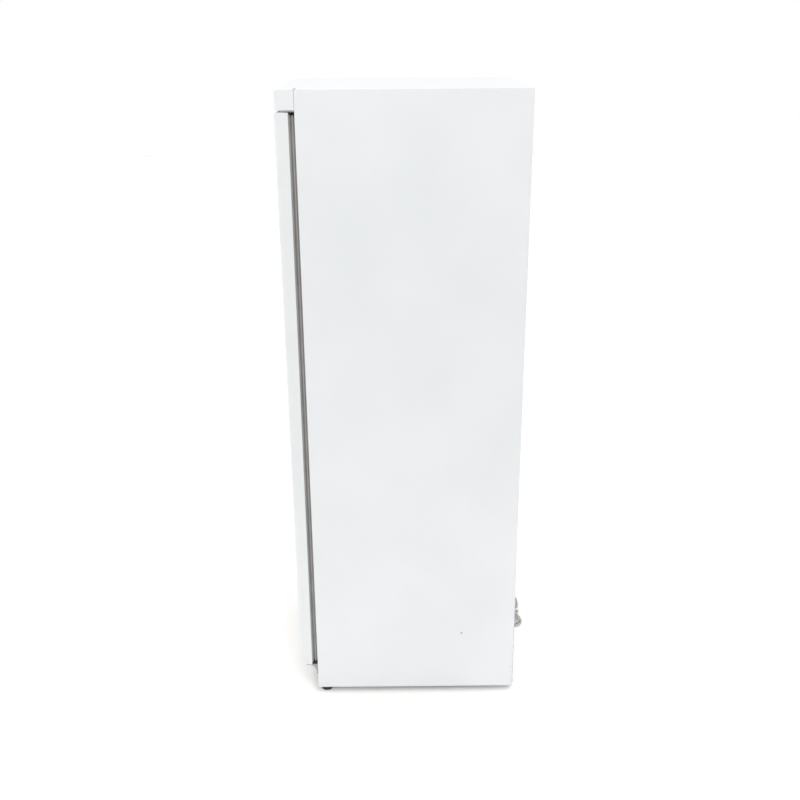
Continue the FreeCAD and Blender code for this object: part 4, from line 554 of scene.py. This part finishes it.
def makeRockerMarks(f):
    # a bar on the upper face and a ring on the lower one, both lying in the sloping faces of the rocker
    right = np.array([1.0, 0.0, 0.0])
    ridge = np.array([f["x"], *f["ridge"]])
    up = np.array([0.0, *f["upSlope"]]) / np.hypot(*f["upSlope"])
    bar = rectangles(ridge + f["along"] * up, right, up, [f["bar"]])
    white = materials["whitePrint"]
    stampedMarks("rockerOnBar", bar, f["lift"] * np.cross(right, up), "lamp_rocker", white)
    down = np.array([0.0, *f["downSlope"]]) / np.hypot(*f["downSlope"])
    outward = np.cross(right, -down)
    turn = np.arange(f["ringSteps"])[:, None] * 2 * math.pi / f["ringSteps"]
    radial = np.cos(turn) * right + np.sin(turn) * -down
    centre = ridge + f["along"] * down
    inner, outer, lift = f["ringInner"], f["ringOuter"], f["lift"]
    profile = [(inner, 0.0), (outer, 0.0), (outer, lift), (inner, lift)]
    grid = np.stack([centre + r * radial + h * outward for r, h in profile], axis=1)
    ring = meshFromGrid("rockerOffRing", grid, closeU=True, closeV=True, material=white, smooth=False)
    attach(ring, "lamp_rocker")


makeDial(dialFacts)
makeRockerMarks(rockerFacts)
print("dial and rocker marked")

# the mains lead is one smooth line from the gland to the plug
leadFacts = {
    "diameter": 0.007,
    "length": 1.69,
    "exit": (-0.262, 0.363, 0.085),
    # down from the gland, then round to the hank on the floor behind the cabinet
    "route": [(-262.0, 363.0, 85.0), (-262.0, 363.0, 69.0), (-263.1, 367.6, 51.0), (-262.4, 378.0, 35.2),
              (-257.6, 391.4, 22.3), (-247.6, 404.1, 13.2), (-232.5, 413.5, 7.0), (-214.0, 417.35, 4.8),
              (-201.0, 417.35, 4.8)],
    "hankX": -138.0, "hankY": 382.0, "hankZ": 4.8,
    "run": 112.0, "step": 8.2, "layer": 7.6, "outer": 35.35, "waist": 10.0,
    "runs": 8, "climbRun": 4, "turnPoints": 6,
    "tail": [(-204.0, 350.75, 12.4), (-224.0, 360.5, 12.4), (-241.0, 360.5, 12.4)],
}


def hankPoints(f):
    # runs go to and fro along X, each half a step further in, then out again a layer higher;
    # each run has four points that draw it in at the waist, each fold six points round a half circle
    points = []
    halfRun = f["run"] / 2
    for run in range(f["runs"]):
        inward = min(run, 2 * f["climbRun"] - run)
        offset = f["outer"] - inward * f["step"] / 2
        side = 1 if run % 2 == 0 else -1
        z = f["hankZ"] + (f["layer"] if run > f["climbRun"] else 0.0)
        rise = np.array([0.0, 0.5, 0.5, 1.0]) * (f["layer"] if run == f["climbRun"] else 0.0)
        along = np.array([-0.75, -0.25, 0.25, 0.75]) * halfRun * side
        across = side * (offset - np.array([0.0, 1.0, 1.0, 0.0]) * f["waist"])
        points.append(np.stack([f["hankX"] + along, f["hankY"] + across, z + rise], axis=1))
        if run == f["runs"] - 1:
            continue
        nextInward = min(run + 1, 2 * f["climbRun"] - run - 1)
        nextOffset = f["outer"] - nextInward * f["step"] / 2
        radius = (offset + nextOffset) / 2
        middle = side * (offset - nextOffset) / 2
        turn = (np.arange(f["turnPoints"]) + 0.5) * math.pi / f["turnPoints"]
        reach = radius / math.cos(math.pi / f["turnPoints"] / 2)
        top = f["hankZ"] + (f["layer"] if run >= f["climbRun"] else 0.0)
        turnX = f["hankX"] + side * (halfRun + reach * np.sin(turn))
        turnY = f["hankY"] + middle + side * reach * np.cos(turn)
        points.append(np.stack([turnX, turnY, np.full(len(turn), top)], axis=1))
    return np.concatenate(points)


def makeCord(f):
    points = np.concatenate([np.array(f["route"]), hankPoints(f), np.array(f["tail"])]) / 1000
    curve = bpy.data.curves.new("mainsCord", "CURVE")
    curve.dimensions = "3D"
    curve.bevel_depth = f["diameter"] / 2
    curve.bevel_resolution = 5
    curve.use_fill_caps = True
    spline = curve.splines.new("NURBS")
    spline.points.add(len(points) - 1)
    spline.points.foreach_set("co", np.column_stack([points, np.ones(len(points))]).ravel())
    spline.order_u = 3
    spline.use_endpoint_u = True
    spline.resolution_u = 6
    curve.materials.append(materials["cord"])
    piece = bpy.data.objects.new("mainsCord", curve)
    bpy.context.collection.objects.link(piece)
    return piece


mainsCord = makeCord(leadFacts)
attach(mainsCord, "cabinet")
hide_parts("cord_lead", "cord_hank")
print("mains lead laid")
